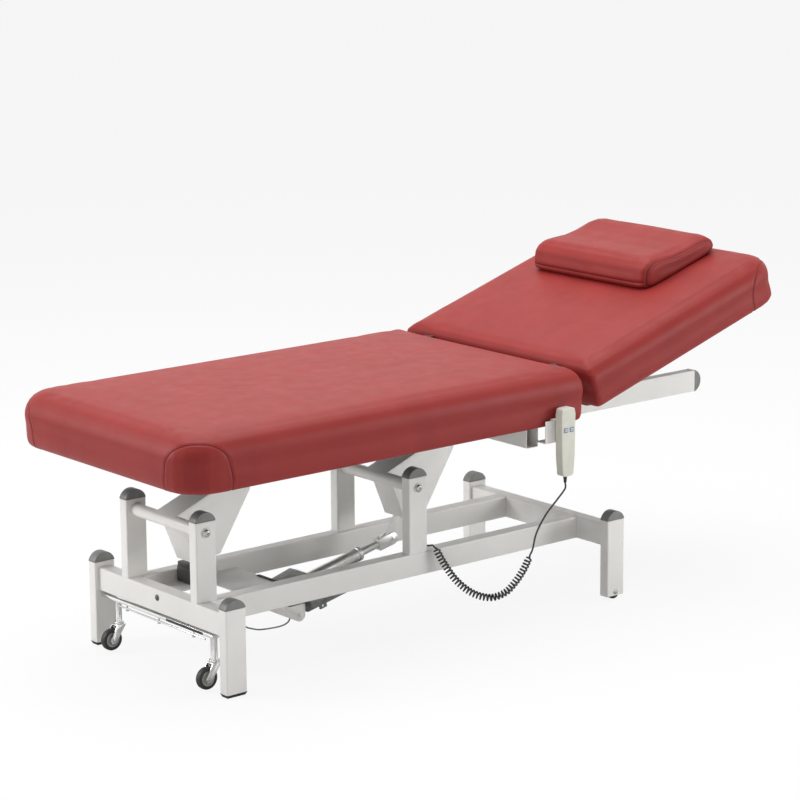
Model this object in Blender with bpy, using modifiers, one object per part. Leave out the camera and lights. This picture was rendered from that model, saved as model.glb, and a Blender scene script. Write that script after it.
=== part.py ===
"""Electric massage table with a parallel-lever lift, a tilting back section and a corded hand switch.

Metres, +Z up. The floor is z = 0, +X points to the head end and the hand switch hangs on the -Y side.
The origin is on the floor, at the middle of the table's overall box, hand switch included.
Every piece hangs from an empty on the table's own middle plane.
"""
import math

import bmesh
import bpy
from mathutils import Matrix, Vector

for leftover in list(bpy.data.objects):
    bpy.data.objects.remove(leftover, do_unlink=True)

# Clearances and cuts
GAP = 0.0003            # between touching pieces
RUNNING = 0.0003        # radial play of a pin in its hole
OVERRUN = 0.010         # how far a cutter passes the face that it cuts
WELD = 0.00001          # distance under which points are one
SMOOTH_ANGLE = math.radians(35)
ROUND_SIDES = 20        # sides of a thick round piece
WHEEL_SIDES = 28        # sides of a head wheel, which the table stands on
THIN_SIDES = 12         # sides of a pin or bolt
CORNER_STEPS = 2        # segments in a rounded tube corner

# Rectangular steel tube and its end caps
TUBE_DEEP = 0.060       # wide side
TUBE_THIN = 0.030       # narrow side of legs, uprights and top rails
BEAM_WIDE = 0.040       # width of the low beams and of the top cross tubes
TUBE_WALL = 0.002
TUBE_CORNER = 0.0035
CAP_RISE = 0.024
CAP_PLUG = 0.012
CAP_STEPS = 8

# Base
BASE_LENGTH = 1.3115
BASE_WIDTH = 0.589
BEAM_TOP = 0.205
CROSS_INSET = 0.0115    # cross member behind the legs' end faces
LEG_RISE = 0.013        # legs stand this much above the beams
RAIL_SPACING = 0.286    # between the centre planes of the two rails
PAD_HEIGHT = 0.008
PAD_TAPER = 0.004
HEAD_LEG_LIFT = 0.010   # floor to the end of a head leg's tube
UPRIGHT_HEIGHT = 0.200
MID_UPRIGHT_X = 0.707   # centre of the middle uprights from the foot end
UPRIGHT_STEP_OUT = 0.005  # uprights' centre planes outside the rails'

# Head wheels inside the legs
LEG_WHEEL_RADIUS = 0.020
LEG_WHEEL_WIDTH = 0.021
LEG_AXLE_RADIUS = 0.004
AXLE_HEAD_RADIUS = 0.0065
AXLE_HEAD_HEIGHT = 0.004

# Base plate, control box and actuator mount
PLATE_THICK = 0.003
PLATE_DROP = 0.029      # plate's top below the beams' top
PLATE_LENGTH = 0.2835
PLATE_NOTCH_LENGTH = 0.1525
PLATE_NOTCH_WIDTH = 0.161
BOX_LENGTH = 0.080
BOX_WIDTH = 0.060
BOX_HEIGHT = 0.052
BOX_ROUNDING = 0.004
BOX_FOOT_GAP = 0.0985   # control box from the foot cross member
BOX_RAIL_GAP = 0.003
MOUNT_WIDTH = 0.034
MOUNT_SHEET = 0.003
REAR_PIVOT_X = 0.434    # from the foot end
REAR_PIVOT_Z = 0.060
REAR_PIN_RADIUS = 0.005
REAR_EYE_RADIUS = 0.017
MOUNT_TOP_LENGTH = 0.085
MOUNT_EYE_START = 238   # degrees
MOUNT_BELLY = 0.033     # depth of the mount's foot edge under the plate
MOUNT_NECK = 0.028      # height of its upper edge above the rear pivot
MOUNT_KNEE_X = 0.089    # bend of that edge, before the pivot
MOUNT_KNEE_DROP = 0.058  # and under the plate

# Lift levers
PIVOT_HEIGHT = 0.378
FOOT_PIVOT_X = 0.0415   # from the foot end
PIVOT_TUBE_RADIUS = 0.0165
PIVOT_TUBE_WALL = 0.003
BOLT_RADIUS = 0.006
BOLT_HEAD_RADIUS = 0.010
BOLT_HEAD_HEIGHT = 0.006
WASHER_RADIUS = 0.0125
WASHER_THICK = 0.002
ARM_LENGTH = 0.238
ARM_REST_ANGLE = math.radians(20.9)
LEVER_WIDTH = 0.080
LEVER_SHEET = 0.0035
LEVER_EYE_RADIUS = 0.0165
LEVER_DROP = 0.115      # lowest edge of the lever under its pivot
LEVER_TOE_X = 0.055     # foot edge of the lever's lower end
LEVER_HEEL_X = 0.130    # head edge of the lever's lower end
LEVER_HEEL_RISE = 0.015
LEVER_BACK_DROP = 0.039  # straight stretch under the eye
UPPER_PIN_RADIUS = 0.006
LUG_THICK = 0.006
LUG_RADIUS = 0.016
LUG_CLEAR = 0.0015
TOP_PIVOT_DROP = 0.019  # upper pivots under the top frame

# Actuator, in a frame along its tube with its origin on the rear pivot
FRONT_PIVOT_X = 0.041   # front pin from the middle lever's pivot
FRONT_PIVOT_DROP = 0.173
FRONT_PIN_RADIUS = 0.005
ACTUATOR_ANGLE = math.radians(12.5)
FRONT_HOLE_RADIUS = 0.0142
FRONT_EYE_RIM = 0.006
FRONT_LUG_THICK = 0.008
FORK_SHEET = 0.006
FORK_PLAY = 0.0015
FORK_EYE_RADIUS = 0.016
FORK_NECK = 0.047       # back of the fork from its pin
FORK_THROAT = 0.031
ROD_RADIUS = 0.010
ROD_REAR = 0.052
SHELL_RADIUS = 0.0165   # outer tube
SHELL_FRONT = 0.2314
RING_RADIUS = 0.019
RING_LENGTH = 0.008
HOUSING_WIDTH = 0.060
HOUSING_REAR = 0.066
HOUSING_FRONT = 0.048
HOUSING_RISE = 0.037    # above the tube's axis
HOUSING_BELLY = 0.024   # below the tube's axis
CAN_RADIUS = 0.030
CAN_DROP = 0.052        # motor's axis under the tube's axis
CAN_REAR = 0.031
CAN_FRONT = 0.226
CAN_LUG_REAR = 0.075
CAN_LUG_LENGTH = 0.022
CAN_LUG_DROP = 0.012
CAN_LUG_THICK = 0.006
CAN_LUG_HOLE = 0.004

# Top frame
TOP_RAIL_STEP_IN = 0.003  # top rails' centre planes inside the base rails'
TOP_RAIL_FOOT_X = 0.040  # hidden under the seat from a standing view
TOP_RAIL_HEAD_X = 1.710
OUTRIGGER_INSET = 0.029  # its end from the seat's side
SEAT_THICK = 0.1328
SEAT_FOOT_X = -0.156
SEAT_HEAD_X = 1.082
TABLE_WIDTH = 0.758
PLAN_RADIUS = 0.090
END_RADIUS = 0.012
SEAM_RADIUS = 0.045
CREASE_RADIUS = 0.022
CROWN = 0.006
DRAW_IN = 0.004
BOARD_THICK = 0.012
BOARD_INSET = 0.028
HEM = 0.010
LEAST_TURN = 0.005      # smallest plan radius of an inner ring
CORNER_POINTS = 5
SEAM_STEPS = 4
CROWN_SHARES = ((0.12, 0.45), (0.35, 0.85), (0.62, 1))

# Back section, in a frame along it with its origin on the hinge axis
HINGE_X = 1.094
HINGE_RISE = 0.1128     # hinge axis over the seat board's lower face
BACK_ANGLE = math.radians(17.4)
BACK_LENGTH = 0.740
BACK_ABOVE = 0.020
BACK_BELOW = 0.100
BACK_START = 0.009
BACK_BOARD_INSET = 0.040
BACK_BOARD_HEAD_INSET = 0.055
LEAF_SHEET = 0.003
LEAF_STANDOFF = 0.0056
FRAME_LEAF_FACE = 0.0085  # frame leaf's head face before the hinge axis
KNUCKLE_RADIUS = 0.005
HINGE_PIN_RADIUS = 0.0025
KNUCKLE_LENGTH = 0.0145
LEAF_INSET = 0.110      # hinge leaves' ends from the cushions' sides
LEAF_BAR_LOW = 0.090
LEAF_BAR_HIGH = 0.012
LEAF_FOOT_WIDTH = 0.120
LEAF_FOOT_LENGTH = 0.070

# Gas strut, in a frame along it with its origin on the lower anchor
ANCHOR_X = 1.140
ANCHOR_Z = 0.497
STRUT_U = 0.340
STRUT_W = 0.138
STRUT_RADIUS = 0.011
STRUT_CYLINDER = 0.240
STRUT_ROD_RADIUS = 0.005
STRUT_ROD_REAR = 0.095
STRUT_BORE_REAR = 0.045
STRUT_EYE_RADIUS = 0.008
STRUT_EYE_WIDTH = 0.016
STRUT_PIN_RADIUS = 0.004
STRUT_CHEEK = 0.003
STRUT_PLAY = 0.0015
SLOT_AHEAD = 0.0105     # slot from the pin towards the board
SLOT_BEHIND = 0.0115    # and away from it
SLOT_HALF_WIDTH = 0.0115

# Pillow
PILLOW_START = 0.400
PILLOW_LENGTH = 0.297
PILLOW_LOW_Y = -0.200
PILLOW_WIDTH = 0.455
PILLOW_TALL = 0.075
PILLOW_LOW = 0.054
PILLOW_EDGE = 0.012

# Hand switch
SWITCH_X = 0.9975
SWITCH_LOW_Z = 0.408
SWITCH_LENGTH = 0.178
SWITCH_WIDTH = 0.048
SWITCH_NECK = 0.036
SWITCH_DEEP = 0.025
SWITCH_SEAT_GAP = 0.009
SWITCH_ROUND = 0.004
BUTTON_SIZE = 0.013
BUTTON_PITCH = 0.020
BUTTON_DROP = 0.057     # under the shell's top
BUTTON_STAND = 0.0015
BUTTON_DEEP = 0.006
BUTTON_TRAVEL = 0.0012
HOOK_SHEET = 0.002
HOOK_WIDTH = 0.040
HOOK_FOOT_X = 0.9435
HOOK_TOP_Z = 0.553
HOOK_LOW_Z = 0.495
HOOK_SEAT_GAP = 0.0042
CLIP_SHEET = 0.0016
CLIP_PLAY = 0.0006
CLIP_LENGTH = 0.030
CLIP_BRIDGE = 0.004

# Cords
CORD_RADIUS = 0.0024
CURL_RADIUS = 0.0078    # axis of the curls
CURLS = 40
CURL_POINTS = 8
RELIEF_LENGTH = 0.018
RELIEF_RADIUS = 0.0055
CABLE_RADIUS = 0.002
# hand-placed routes, x from the foot end: the curls, the tail over the near rail to its inner face, the
# straight lead, and the cable from the actuator's mount to the base plate
CURL_ROUTE = ((0.752, -0.176, 0.214), (0.772, -0.190, 0.168), (0.796, -0.210, 0.124),
              (0.828, -0.236, 0.091),
              (0.865, -0.262, 0.078), (0.895, -0.286, 0.091), (0.916, -0.303, 0.120),
              (0.931, -0.319, 0.156),
              (0.940, -0.330, 0.190))
TAIL_ROUTE = ((0.7485, -0.170, 0.2205), (0.7460, -0.151, 0.2155), (0.7450, -0.131, 0.2125),
              (0.7425, -0.110, 0.2065), (0.735, -0.098, 0.197), (0.724, -0.0915, 0.187),
              (0.712, -0.0915, 0.179),
              (0.7035, -0.0985, 0.1745), (0.701, -0.1087, 0.1733))
LEAD_ROUTE = ((0.953, -0.342, 0.252), (0.967, -0.362, 0.302), (0.984, -0.387, 0.345))
CABLE_ROUTE = ((0.402, 0.005, 0.037), (0.382, 0.003, 0.0355), (0.356, 0.000, 0.0374),
               (0.330, -0.005, 0.041),
               (0.306, -0.010, 0.0457), (0.285, -0.013, 0.053), (0.266, -0.016, 0.061),
               (0.2506, -0.019, 0.0735),
               (0.239, -0.020, 0.092), (0.232, -0.020, 0.115), (0.230, -0.020, 0.145))
CABLE_START = (0.418, 0.006)  # place on the mount's sloped edge
LEAD_END = 0.016        # straight stretch into the strain relief

# Foot-end casters and their carriage
CASTER_LEG_GAP = 0.0595  # casters' swivels from the legs' inner faces
CASTER_X = 0.028
CASTER_WHEEL_RADIUS = 0.028
CASTER_WHEEL_WIDTH = 0.018
CASTER_TRAIL = 0.024
CASTER_FLOOR = 0.003
CASTER_AXLE_RADIUS = 0.003
FORK_TOP_Z = 0.068
FORK_PLATE = 0.0025
FORK_SIDE_WIDTH = 0.020
STEM_RADIUS = 0.0085
FLANGE_RADIUS = 0.013
FLANGE_THICK = 0.006
BAR_TOP_Z = 0.140
BAR_THICK = 0.008
BAR_WIDTH = 0.034
BAR_REACH = 0.019       # near end past the near caster's swivel
BAR_LEG_GAP = 0.0075    # far end from the far leg
GUIDE_RADIUS = 0.005
GUIDE_Y = 0.100
GUIDE_RISE = 0.034

# Derived levels and places, x from the foot end's leg faces
BEAM_LOW = BEAM_TOP - TUBE_DEEP
LEG_TOP = BEAM_TOP + LEG_RISE
UPRIGHT_TOP = BEAM_TOP + UPRIGHT_HEIGHT
PLATE_TOP = BEAM_TOP - PLATE_DROP
ARM = Vector((math.cos(ARM_REST_ANGLE), 0, math.sin(ARM_REST_ANGLE))) * ARM_LENGTH
TOP_LOW = PIVOT_HEIGHT + ARM.z + TOP_PIVOT_DROP
TOP_HIGH = TOP_LOW + TUBE_DEEP
SEAT_LOW = TOP_HIGH + GAP
HINGE_Z = SEAT_LOW + HINGE_RISE
BACK_HEAD_X = (HINGE_X + (BACK_LENGTH - DRAW_IN / 2) * math.cos(BACK_ANGLE)
               + (BACK_BELOW - HEM) * math.sin(BACK_ANGLE))
FOOT_X = -(SEAT_FOOT_X + BACK_HEAD_X) / 2
OUTRIGGER_REACH = TABLE_WIDTH / 2 - OUTRIGGER_INSET
LEAF_END_Y = TABLE_WIDTH / 2 - LEAF_INSET
SWITCH_BACK_Y = -TABLE_WIDTH / 2 - SWITCH_SEAT_GAP
HOOK_FACE_Y = -TABLE_WIDTH / 2 - HOOK_SEAT_GAP
CASTER_Y = BASE_WIDTH / 2 - TUBE_THIN - CASTER_LEG_GAP
BAR_Y_LOW = -CASTER_Y - BAR_REACH
BAR_Y_HIGH = BASE_WIDTH / 2 - TUBE_THIN - BAR_LEG_GAP
MIDDLE_Y = (SWITCH_DEEP + BUTTON_STAND - SWITCH_BACK_Y - TABLE_WIDTH / 2) / 2
HEAD_X = FOOT_X + BASE_LENGTH
LEG_Y = (BASE_WIDTH - TUBE_THIN) / 2
RAIL_Y = RAIL_SPACING / 2
UPRIGHT_Y = RAIL_Y + UPRIGHT_STEP_OUT
TOP_RAIL_Y = RAIL_Y - TOP_RAIL_STEP_IN
RAIL_FACE_Y = RAIL_Y - BEAM_WIDE / 2
TOP_RAIL_FACE_Y = TOP_RAIL_Y - TUBE_THIN / 2
FRONT_PIVOT = Vector((MID_UPRIGHT_X + FRONT_PIVOT_X - REAR_PIVOT_X, 0,
                      PIVOT_HEIGHT - FRONT_PIVOT_DROP - REAR_PIVOT_Z))
FRONT_S = FRONT_PIVOT.x * math.cos(ACTUATOR_ANGLE) + FRONT_PIVOT.z * math.sin(ACTUATOR_ANGLE)
SHELL_H = FRONT_PIVOT.z * math.cos(ACTUATOR_ANGLE) - FRONT_PIVOT.x * math.sin(ACTUATOR_ANGLE)

# Local axes: a flat outline's x and y, and the way it is thickened
ACROSS = Matrix.Rotation(math.radians(90), 4, "X")        # outline in XZ, thick along Y
ALONG = Matrix(((0, 0, 1), (1, 0, 0), (0, 1, 0))).to_4x4()  # outline in YZ, thick along X
UPWARD = Matrix.Identity(4)                               # outline in XY, thick along Z

table_parts = bpy.data.collections.new("electric_massage_table")
cutting_tools = bpy.data.collections.new("cutters")
for group in (table_parts, cutting_tools):
    bpy.context.scene.collection.children.link(group)


def material(name, colour, roughness, metallic=0):
    """Make a Principled material."""
    made = bpy.data.materials.new(name)
    made.use_nodes = True
    surface = made.node_tree.nodes["Principled BSDF"]
    surface.inputs["Base Color"].default_value = (*colour, 1)
    surface.inputs["Roughness"].default_value = roughness
    surface.inputs["Metallic"].default_value = metallic
    made.diffuse_color = (*colour, 1)
    return made


COAT = material("warm_white_coat", (0.70, 0.68, 0.63), 0.45)
CAP_GREY = material("grey_cap", (0.11, 0.11, 0.105), 0.55)
BLACK = material("black_plastic", (0.02, 0.02, 0.02), 0.5)
STEEL = material("zinc_steel", (0.62, 0.62, 0.60), 0.3, 1)
CHROME = material("chrome", (0.80, 0.80, 0.80), 0.12, 1)
MOTOR = material("motor_grey", (0.30, 0.31, 0.29), 0.4, 0.6)
RUBBER = material("black_rubber", (0.015, 0.015, 0.015), 0.75)
LEATHER = material("red_leather", (0.36, 0.055, 0.05), 0.42)
WOOD = material("plywood", (0.42, 0.29, 0.17), 0.7)
CREAM = material("cream_plastic", (0.74, 0.70, 0.60), 0.4)
BUTTON_BLUE = material("blue_button", (0.20, 0.32, 0.55), 0.45)
CORD_GREY = material("dark_cord", (0.045, 0.045, 0.05), 0.5)


def pivot_frame(name, x, y, z, parent=None, tilt=0):
    """Place an empty on a joint's axis, its local x raised by tilt towards +Z."""
    empty = bpy.data.objects.new(name, None)
    empty.empty_display_size = TUBE_DEEP
    empty.parent = parent
    empty.location = (x, y, z)
    empty.rotation_euler = (0, -tilt, 0)
    table_parts.objects.link(empty)
    return empty


def add_object(name, mesh, parent, place, surface):
    """Make a node, or a cutter where it has no surface."""
    obj = bpy.data.objects.new(name, mesh)
    obj.parent = parent
    obj.location = place.to_translation()
    obj.rotation_euler = place.to_euler()
    if surface is None:
        obj.hide_render = True
        obj.display_type = "WIRE"
        cutting_tools.objects.link(obj)
    else:
        mesh.materials.clear()
        mesh.materials.append(surface)
        table_parts.objects.link(obj)
    return obj


def shaded(mesh):
    """Shade round sides smooth and keep real edges sharp."""
    mesh.shade_smooth()
    mesh.set_sharp_from_angle(angle=SMOOTH_ANGLE)
    return mesh


def block(name, low, high, parent, surface=None, taper=0):
    """A box between two corners, its lower face drawn in by taper."""
    low = Vector(low)
    high = Vector(high)
    middle = (low + high) / 2
    size = high - low
    shape = bmesh.new()
    bmesh.ops.create_cube(shape, size=1, matrix=Matrix.Diagonal((*size, 1)))
    for point in shape.verts:
        if point.co.z < 0:
            point.co.x -= math.copysign(taper, point.co.x)
            point.co.y -= math.copysign(taper, point.co.y)
    mesh = bpy.data.meshes.new(name)
    shape.to_mesh(mesh)
    shape.free()
    return add_object(name, mesh, parent, Matrix.Translation(middle), surface)


def outline_mesh(name, outlines, thick):
    """Fill flat outlines, the inner ones as holes, and thicken them evenly about their plane."""
    curve = bpy.data.curves.new(name, "CURVE")
    curve.dimensions = "2D"
    curve.fill_mode = "BOTH"
    curve.extrude = thick / 2
    for outline in outlines:
        spline = curve.splines.new("POLY")
        spline.points.add(len(outline) - 1)
        for point, (x, y) in zip(spline.points, outline):
            point.co = (x, y, 0, 1)
        spline.use_cyclic_u = True
    return solid_from_curve(name, curve)


def solid_from_curve(name, curve):
    """Turn a curve into one closed mesh."""
    drawn = bpy.data.objects.new(name, curve)
    bpy.context.scene.collection.objects.link(drawn)
    drawn_now = drawn.evaluated_get(bpy.context.evaluated_depsgraph_get())
    mesh = bpy.data.meshes.new_from_object(drawn_now)
    mesh.name = name
    bpy.data.objects.remove(drawn, do_unlink=True)
    bpy.data.curves.remove(curve)
    shape = bmesh.new()
    shape.from_mesh(mesh)
    bmesh.ops.remove_doubles(shape, verts=shape.verts, dist=WELD)
    bmesh.ops.recalc_face_normals(shape, faces=shape.faces)
    shape.to_mesh(mesh)
    shape.free()
    return mesh


def plate(name, outlines, thick, middle, axes, parent, surface=None):
    """A flat shape of even thickness, centred on middle."""
    mesh = shaded(outline_mesh(name, outlines, thick))
    return add_object(name, mesh, parent, Matrix.Translation(middle) @ axes, surface)


def round_bar(name, radius, start, end, parent, surface=None, sides=THIN_SIDES):
    """A cylinder between two points."""
    start = Vector(start)
    end = Vector(end)
    shape = bmesh.new()
    bmesh.ops.create_cone(shape, cap_ends=True, segments=sides, radius1=radius, radius2=radius,
                          depth=(end - start).length)
    mesh = bpy.data.meshes.new(name)
    shape.to_mesh(mesh)
    shape.free()
    turn = Vector((0, 0, 1)).rotation_difference(end - start).to_matrix().to_4x4()
    return add_object(name, shaded(mesh), parent, Matrix.Translation((start + end) / 2) @ turn, surface)


def turned(name, profile, middle, axes, parent, surface=None, sides=ROUND_SIDES):
    """Turn a profile of (radius, height) pairs, listed from the top down the outer side."""
    mesh = bpy.data.meshes.new(name)
    shape = bmesh.new()
    points = [shape.verts.new((radius, 0, height)) for radius, height in profile]
    for first, second in zip(points, points[1:]):
        shape.edges.new((first, second))
    if profile[0][0] > 0:
        shape.edges.new((points[-1], points[0]))
    shape.to_mesh(mesh)
    shape.free()
    obj = add_object(name, mesh, parent, Matrix.Translation(middle) @ axes, surface)
    screw = obj.modifiers.new("turn", "SCREW")
    screw.steps = sides
    screw.render_steps = sides
    screw.use_merge_vertices = True
    screw.merge_threshold = WELD
    screw.use_smooth_shade = True
    return obj


def boolean(target, tool, operation):
    """Cut a tool out of a target, or join it on."""
    step = target.modifiers.new(tool.name, "BOOLEAN")
    step.operation = operation
    step.solver = "EXACT"
    step.object = tool


def cut(target, *tools):
    """Cut every tool out of the target."""
    for tool in tools:
        boolean(target, tool, "DIFFERENCE")


def join(target, *tools):
    """Fuse every tool to the target."""
    for tool in tools:
        boolean(target, tool, "UNION")


def arc(centre_x, centre_y, radius, start, end, steps):
    """Points on an arc, angles in degrees."""
    turns = [math.radians(start + (end - start) * step / steps) for step in range(steps + 1)]
    return [(centre_x + radius * math.cos(turn), centre_y + radius * math.sin(turn)) for turn in turns]


def circle(centre_x, centre_y, radius):
    """Points around a small hole."""
    return arc(centre_x, centre_y, radius, 0, 360, THIN_SIDES)[:-1]


def rounded_rectangle(width, height, radius, steps=CORNER_STEPS):
    """Points around a rectangle with round corners, centred on zero."""
    across = width / 2 - radius
    up = height / 2 - radius
    return (arc(across, up, radius, 0, 90, steps) + arc(-across, up, radius, 90, 180, steps)
            + arc(-across, -up, radius, 180, 270, steps) + arc(across, -up, radius, 270, 360, steps))


def rectangle_outline(width, height):
    """Corners of a rectangle centred on zero."""
    return [(width / 2, height / 2), (-width / 2, height / 2), (-width / 2, -height / 2),
            (width / 2, -height / 2)]


def tube_mesh(name, width, height, length):
    """Open-ended rectangular steel tube, its section in x and y."""
    section = [rounded_rectangle(width, height, TUBE_CORNER),
               rectangle_outline(width - 2 * TUBE_WALL, height - 2 * TUBE_WALL)]
    return shaded(outline_mesh(name, section, length))


def steel_tube(name, width, height, length, middle, axes, parent, surface=COAT):
    """A rectangular steel tube centred on middle."""
    mesh = tube_mesh(name, width, height, length)
    return add_object(name, mesh, parent, Matrix.Translation(middle) @ axes, surface)


def loft_mesh(name, rings):
    """Skin a stack of rings with the same number of points, and close both ends."""
    shape = bmesh.new()
    loops = [[shape.verts.new(point) for point in ring] for ring in rings]
    for lower, upper in zip(loops, loops[1:]):
        for index, point in enumerate(lower):
            after = (index + 1) % len(lower)
            shape.faces.new((point, lower[after], upper[after], upper[index]))
    shape.faces.new(list(reversed(loops[0])))
    shape.faces.new(loops[-1])
    bmesh.ops.recalc_face_normals(shape, faces=shape.faces)
    mesh = bpy.data.meshes.new(name)
    shape.to_mesh(mesh)
    shape.free()
    return shaded(mesh)


def smooth_route(points, spacing):
    """Read points at an even spacing from a smooth curve through hand-placed points."""
    nodes = [Vector(point) for point in points]
    nodes = [nodes[0] * 2 - nodes[1]] + nodes + [nodes[-1] * 2 - nodes[-2]]
    fine = []
    reading_steps = 40
    for before, start, end, after in zip(nodes, nodes[1:], nodes[2:], nodes[3:]):
        for step in range(reading_steps):
            t = step / reading_steps
            fine.append(0.5 * (2 * start + (end - before) * t
                               + (2 * before - 5 * start + 4 * end - after) * t ** 2
                               + (3 * start - before - 3 * end + after) * t ** 3))
    fine.append(nodes[-2])
    walked = [0]
    for first, second in zip(fine, fine[1:]):
        walked.append(walked[-1] + (second - first).length)
    count = max(2, round(walked[-1] / spacing))
    route = []
    place = 0
    for index in range(count + 1):
        goal = walked[-1] * index / count
        while place < len(walked) - 2 and walked[place + 1] < goal:
            place += 1
        share = (goal - walked[place]) / (walked[place + 1] - walked[place])
        route.append(fine[place].lerp(fine[place + 1], share))
    return route


def cord_tube(name, points, radius, resolution, parent, surface):
    """A round cord along a list of points, with closed ends."""
    curve = bpy.data.curves.new(name, "CURVE")
    curve.dimensions = "3D"
    curve.bevel_depth = radius
    curve.bevel_resolution = resolution
    curve.use_fill_caps = True
    spline = curve.splines.new("POLY")
    spline.points.add(len(points) - 1)
    for target, point in zip(spline.points, points):
        target.co = (*point, 1)
    curve.materials.append(surface)
    obj = bpy.data.objects.new(name, curve)
    table_parts.objects.link(obj)
    obj.parent = parent
    return obj


def dome_mesh():
    """Domed end of a cap, its base in x and y."""
    half = TUBE_DEEP / 2
    radius = (half ** 2 + CAP_RISE ** 2) / (2 * CAP_RISE)
    swing = math.degrees(math.asin(half / radius))
    dome = arc(0, CAP_RISE - radius, radius, 90 - swing, 90 + swing, CAP_STEPS)
    return shaded(outline_mesh("cap_dome", [dome], TUBE_THIN))


def end_cap(name, middle, axes, parent):
    """Domed end cap with the plug that holds it in the tube."""
    place = Matrix.Translation(middle) @ axes
    cap = add_object(name, dome_mesh(), parent, place @ ACROSS, CAP_GREY)
    inner = 2 * (TUBE_WALL + GAP)
    plug_size = (TUBE_DEEP - inner, TUBE_THIN - inner, CAP_PLUG + CAP_RISE / 2)
    plug_shape = bmesh.new()
    bmesh.ops.create_cube(plug_shape, size=1, matrix=Matrix.Diagonal((*plug_size, 1)))
    plug_mesh = bpy.data.meshes.new(name + "_plug")
    plug_shape.to_mesh(plug_mesh)
    plug_shape.free()
    sink = (CAP_RISE / 2 - CAP_PLUG) / 2
    plug = add_object(name + "_plug", plug_mesh, parent, place @ Matrix.Translation((0, 0, sink)), None)
    join(cap, plug)
    return cap


def build_base(floor):
    """Legs, beams, uprights and their caps."""
    beam_mid = (BEAM_TOP + BEAM_LOW) / 2
    cross_length = BASE_WIDTH - 2 * TUBE_THIN - 2 * GAP
    cross_places = (("foot", FOOT_X + CROSS_INSET + BEAM_WIDE / 2),
                    ("head", HEAD_X - CROSS_INSET - BEAM_WIDE / 2))
    for end, x in cross_places:
        cross = steel_tube("cross_member_" + end, BEAM_WIDE, TUBE_DEEP, cross_length, (x, 0, beam_mid),
                           ACROSS, floor)
        if end == "foot":
            for side in (-1, 1):
                cut(cross, round_bar("guide_hole", GUIDE_RADIUS + RUNNING,
                                     (FOOT_X + CASTER_X, side * GUIDE_Y, BEAM_LOW - OVERRUN),
                                     (FOOT_X + CASTER_X, side * GUIDE_Y, beam_mid), floor))
    rail_length = BASE_LENGTH - 2 * (CROSS_INSET + BEAM_WIDE + GAP)
    for side, sign in (("near", -1), ("far", 1)):
        steel_tube("side_rail_" + side, BEAM_WIDE, TUBE_DEEP, rail_length,
                   ((FOOT_X + HEAD_X) / 2, sign * RAIL_Y, beam_mid), ALONG, floor)
        for end, x, low in (("foot", FOOT_X + TUBE_DEEP / 2, PAD_HEIGHT + GAP),
                            ("head", HEAD_X - TUBE_DEEP / 2, HEAD_LEG_LIFT)):
            y = sign * LEG_Y
            leg = steel_tube("leg_" + end + "_" + side, TUBE_DEEP, TUBE_THIN, LEG_TOP - low,
                             (x, y, (LEG_TOP + low) / 2), UPWARD, floor)
            end_cap("leg_cap_" + end + "_" + side, (x, y, LEG_TOP + GAP), UPWARD, floor)
            if end == "head":
                cut(leg, round_bar("axle_hole", LEG_AXLE_RADIUS + RUNNING,
                                   (x, y - TUBE_THIN, LEG_WHEEL_RADIUS),
                                   (x, y + TUBE_THIN, LEG_WHEEL_RADIUS), floor))
            else:
                half = Vector((TUBE_DEEP / 2, TUBE_THIN / 2, 0))
                foot = Vector((x, y, 0))
                block("foot_pad_" + side, foot - half, foot + half + Vector((0, 0, PAD_HEIGHT)), floor,
                      BLACK,
                      taper=PAD_TAPER)
        for end, x in (("foot", FOOT_X + FOOT_PIVOT_X), ("mid", FOOT_X + MID_UPRIGHT_X)):
            y = sign * UPRIGHT_Y
            low = BEAM_TOP + GAP
            upright = steel_tube("upright_" + end + "_" + side, TUBE_DEEP, TUBE_THIN, UPRIGHT_TOP - low,
                                 (x, y, (UPRIGHT_TOP + low) / 2), UPWARD, floor)
            cut(upright, round_bar("bolt_hole", BOLT_RADIUS + GAP, (x, y - TUBE_THIN, PIVOT_HEIGHT),
                                   (x, y + TUBE_THIN, PIVOT_HEIGHT), floor))
            end_cap("upright_cap_" + end + "_" + side, (x, y, UPRIGHT_TOP + GAP), UPWARD, floor)


def pivot_bolt(name, x, floor):
    """Through bolt of a lever, with a washer and a round head at both ends."""
    reach = UPRIGHT_Y + TUBE_THIN / 2 + GAP
    washer = reach + WASHER_THICK
    head = washer + BOLT_HEAD_HEIGHT
    brim = BOLT_HEAD_RADIUS - BOLT_HEAD_HEIGHT / 2
    side = [(0, head), (brim, head), (BOLT_HEAD_RADIUS, washer + BOLT_HEAD_HEIGHT / 2),
            (BOLT_HEAD_RADIUS, washer),
            (WASHER_RADIUS, washer), (WASHER_RADIUS, reach), (BOLT_RADIUS, reach)]
    profile = side + [(radius, -height) for radius, height in reversed(side)]
    turned(name, profile, (x, 0, PIVOT_HEIGHT), ACROSS, floor, STEEL, sides=THIN_SIDES)


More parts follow.
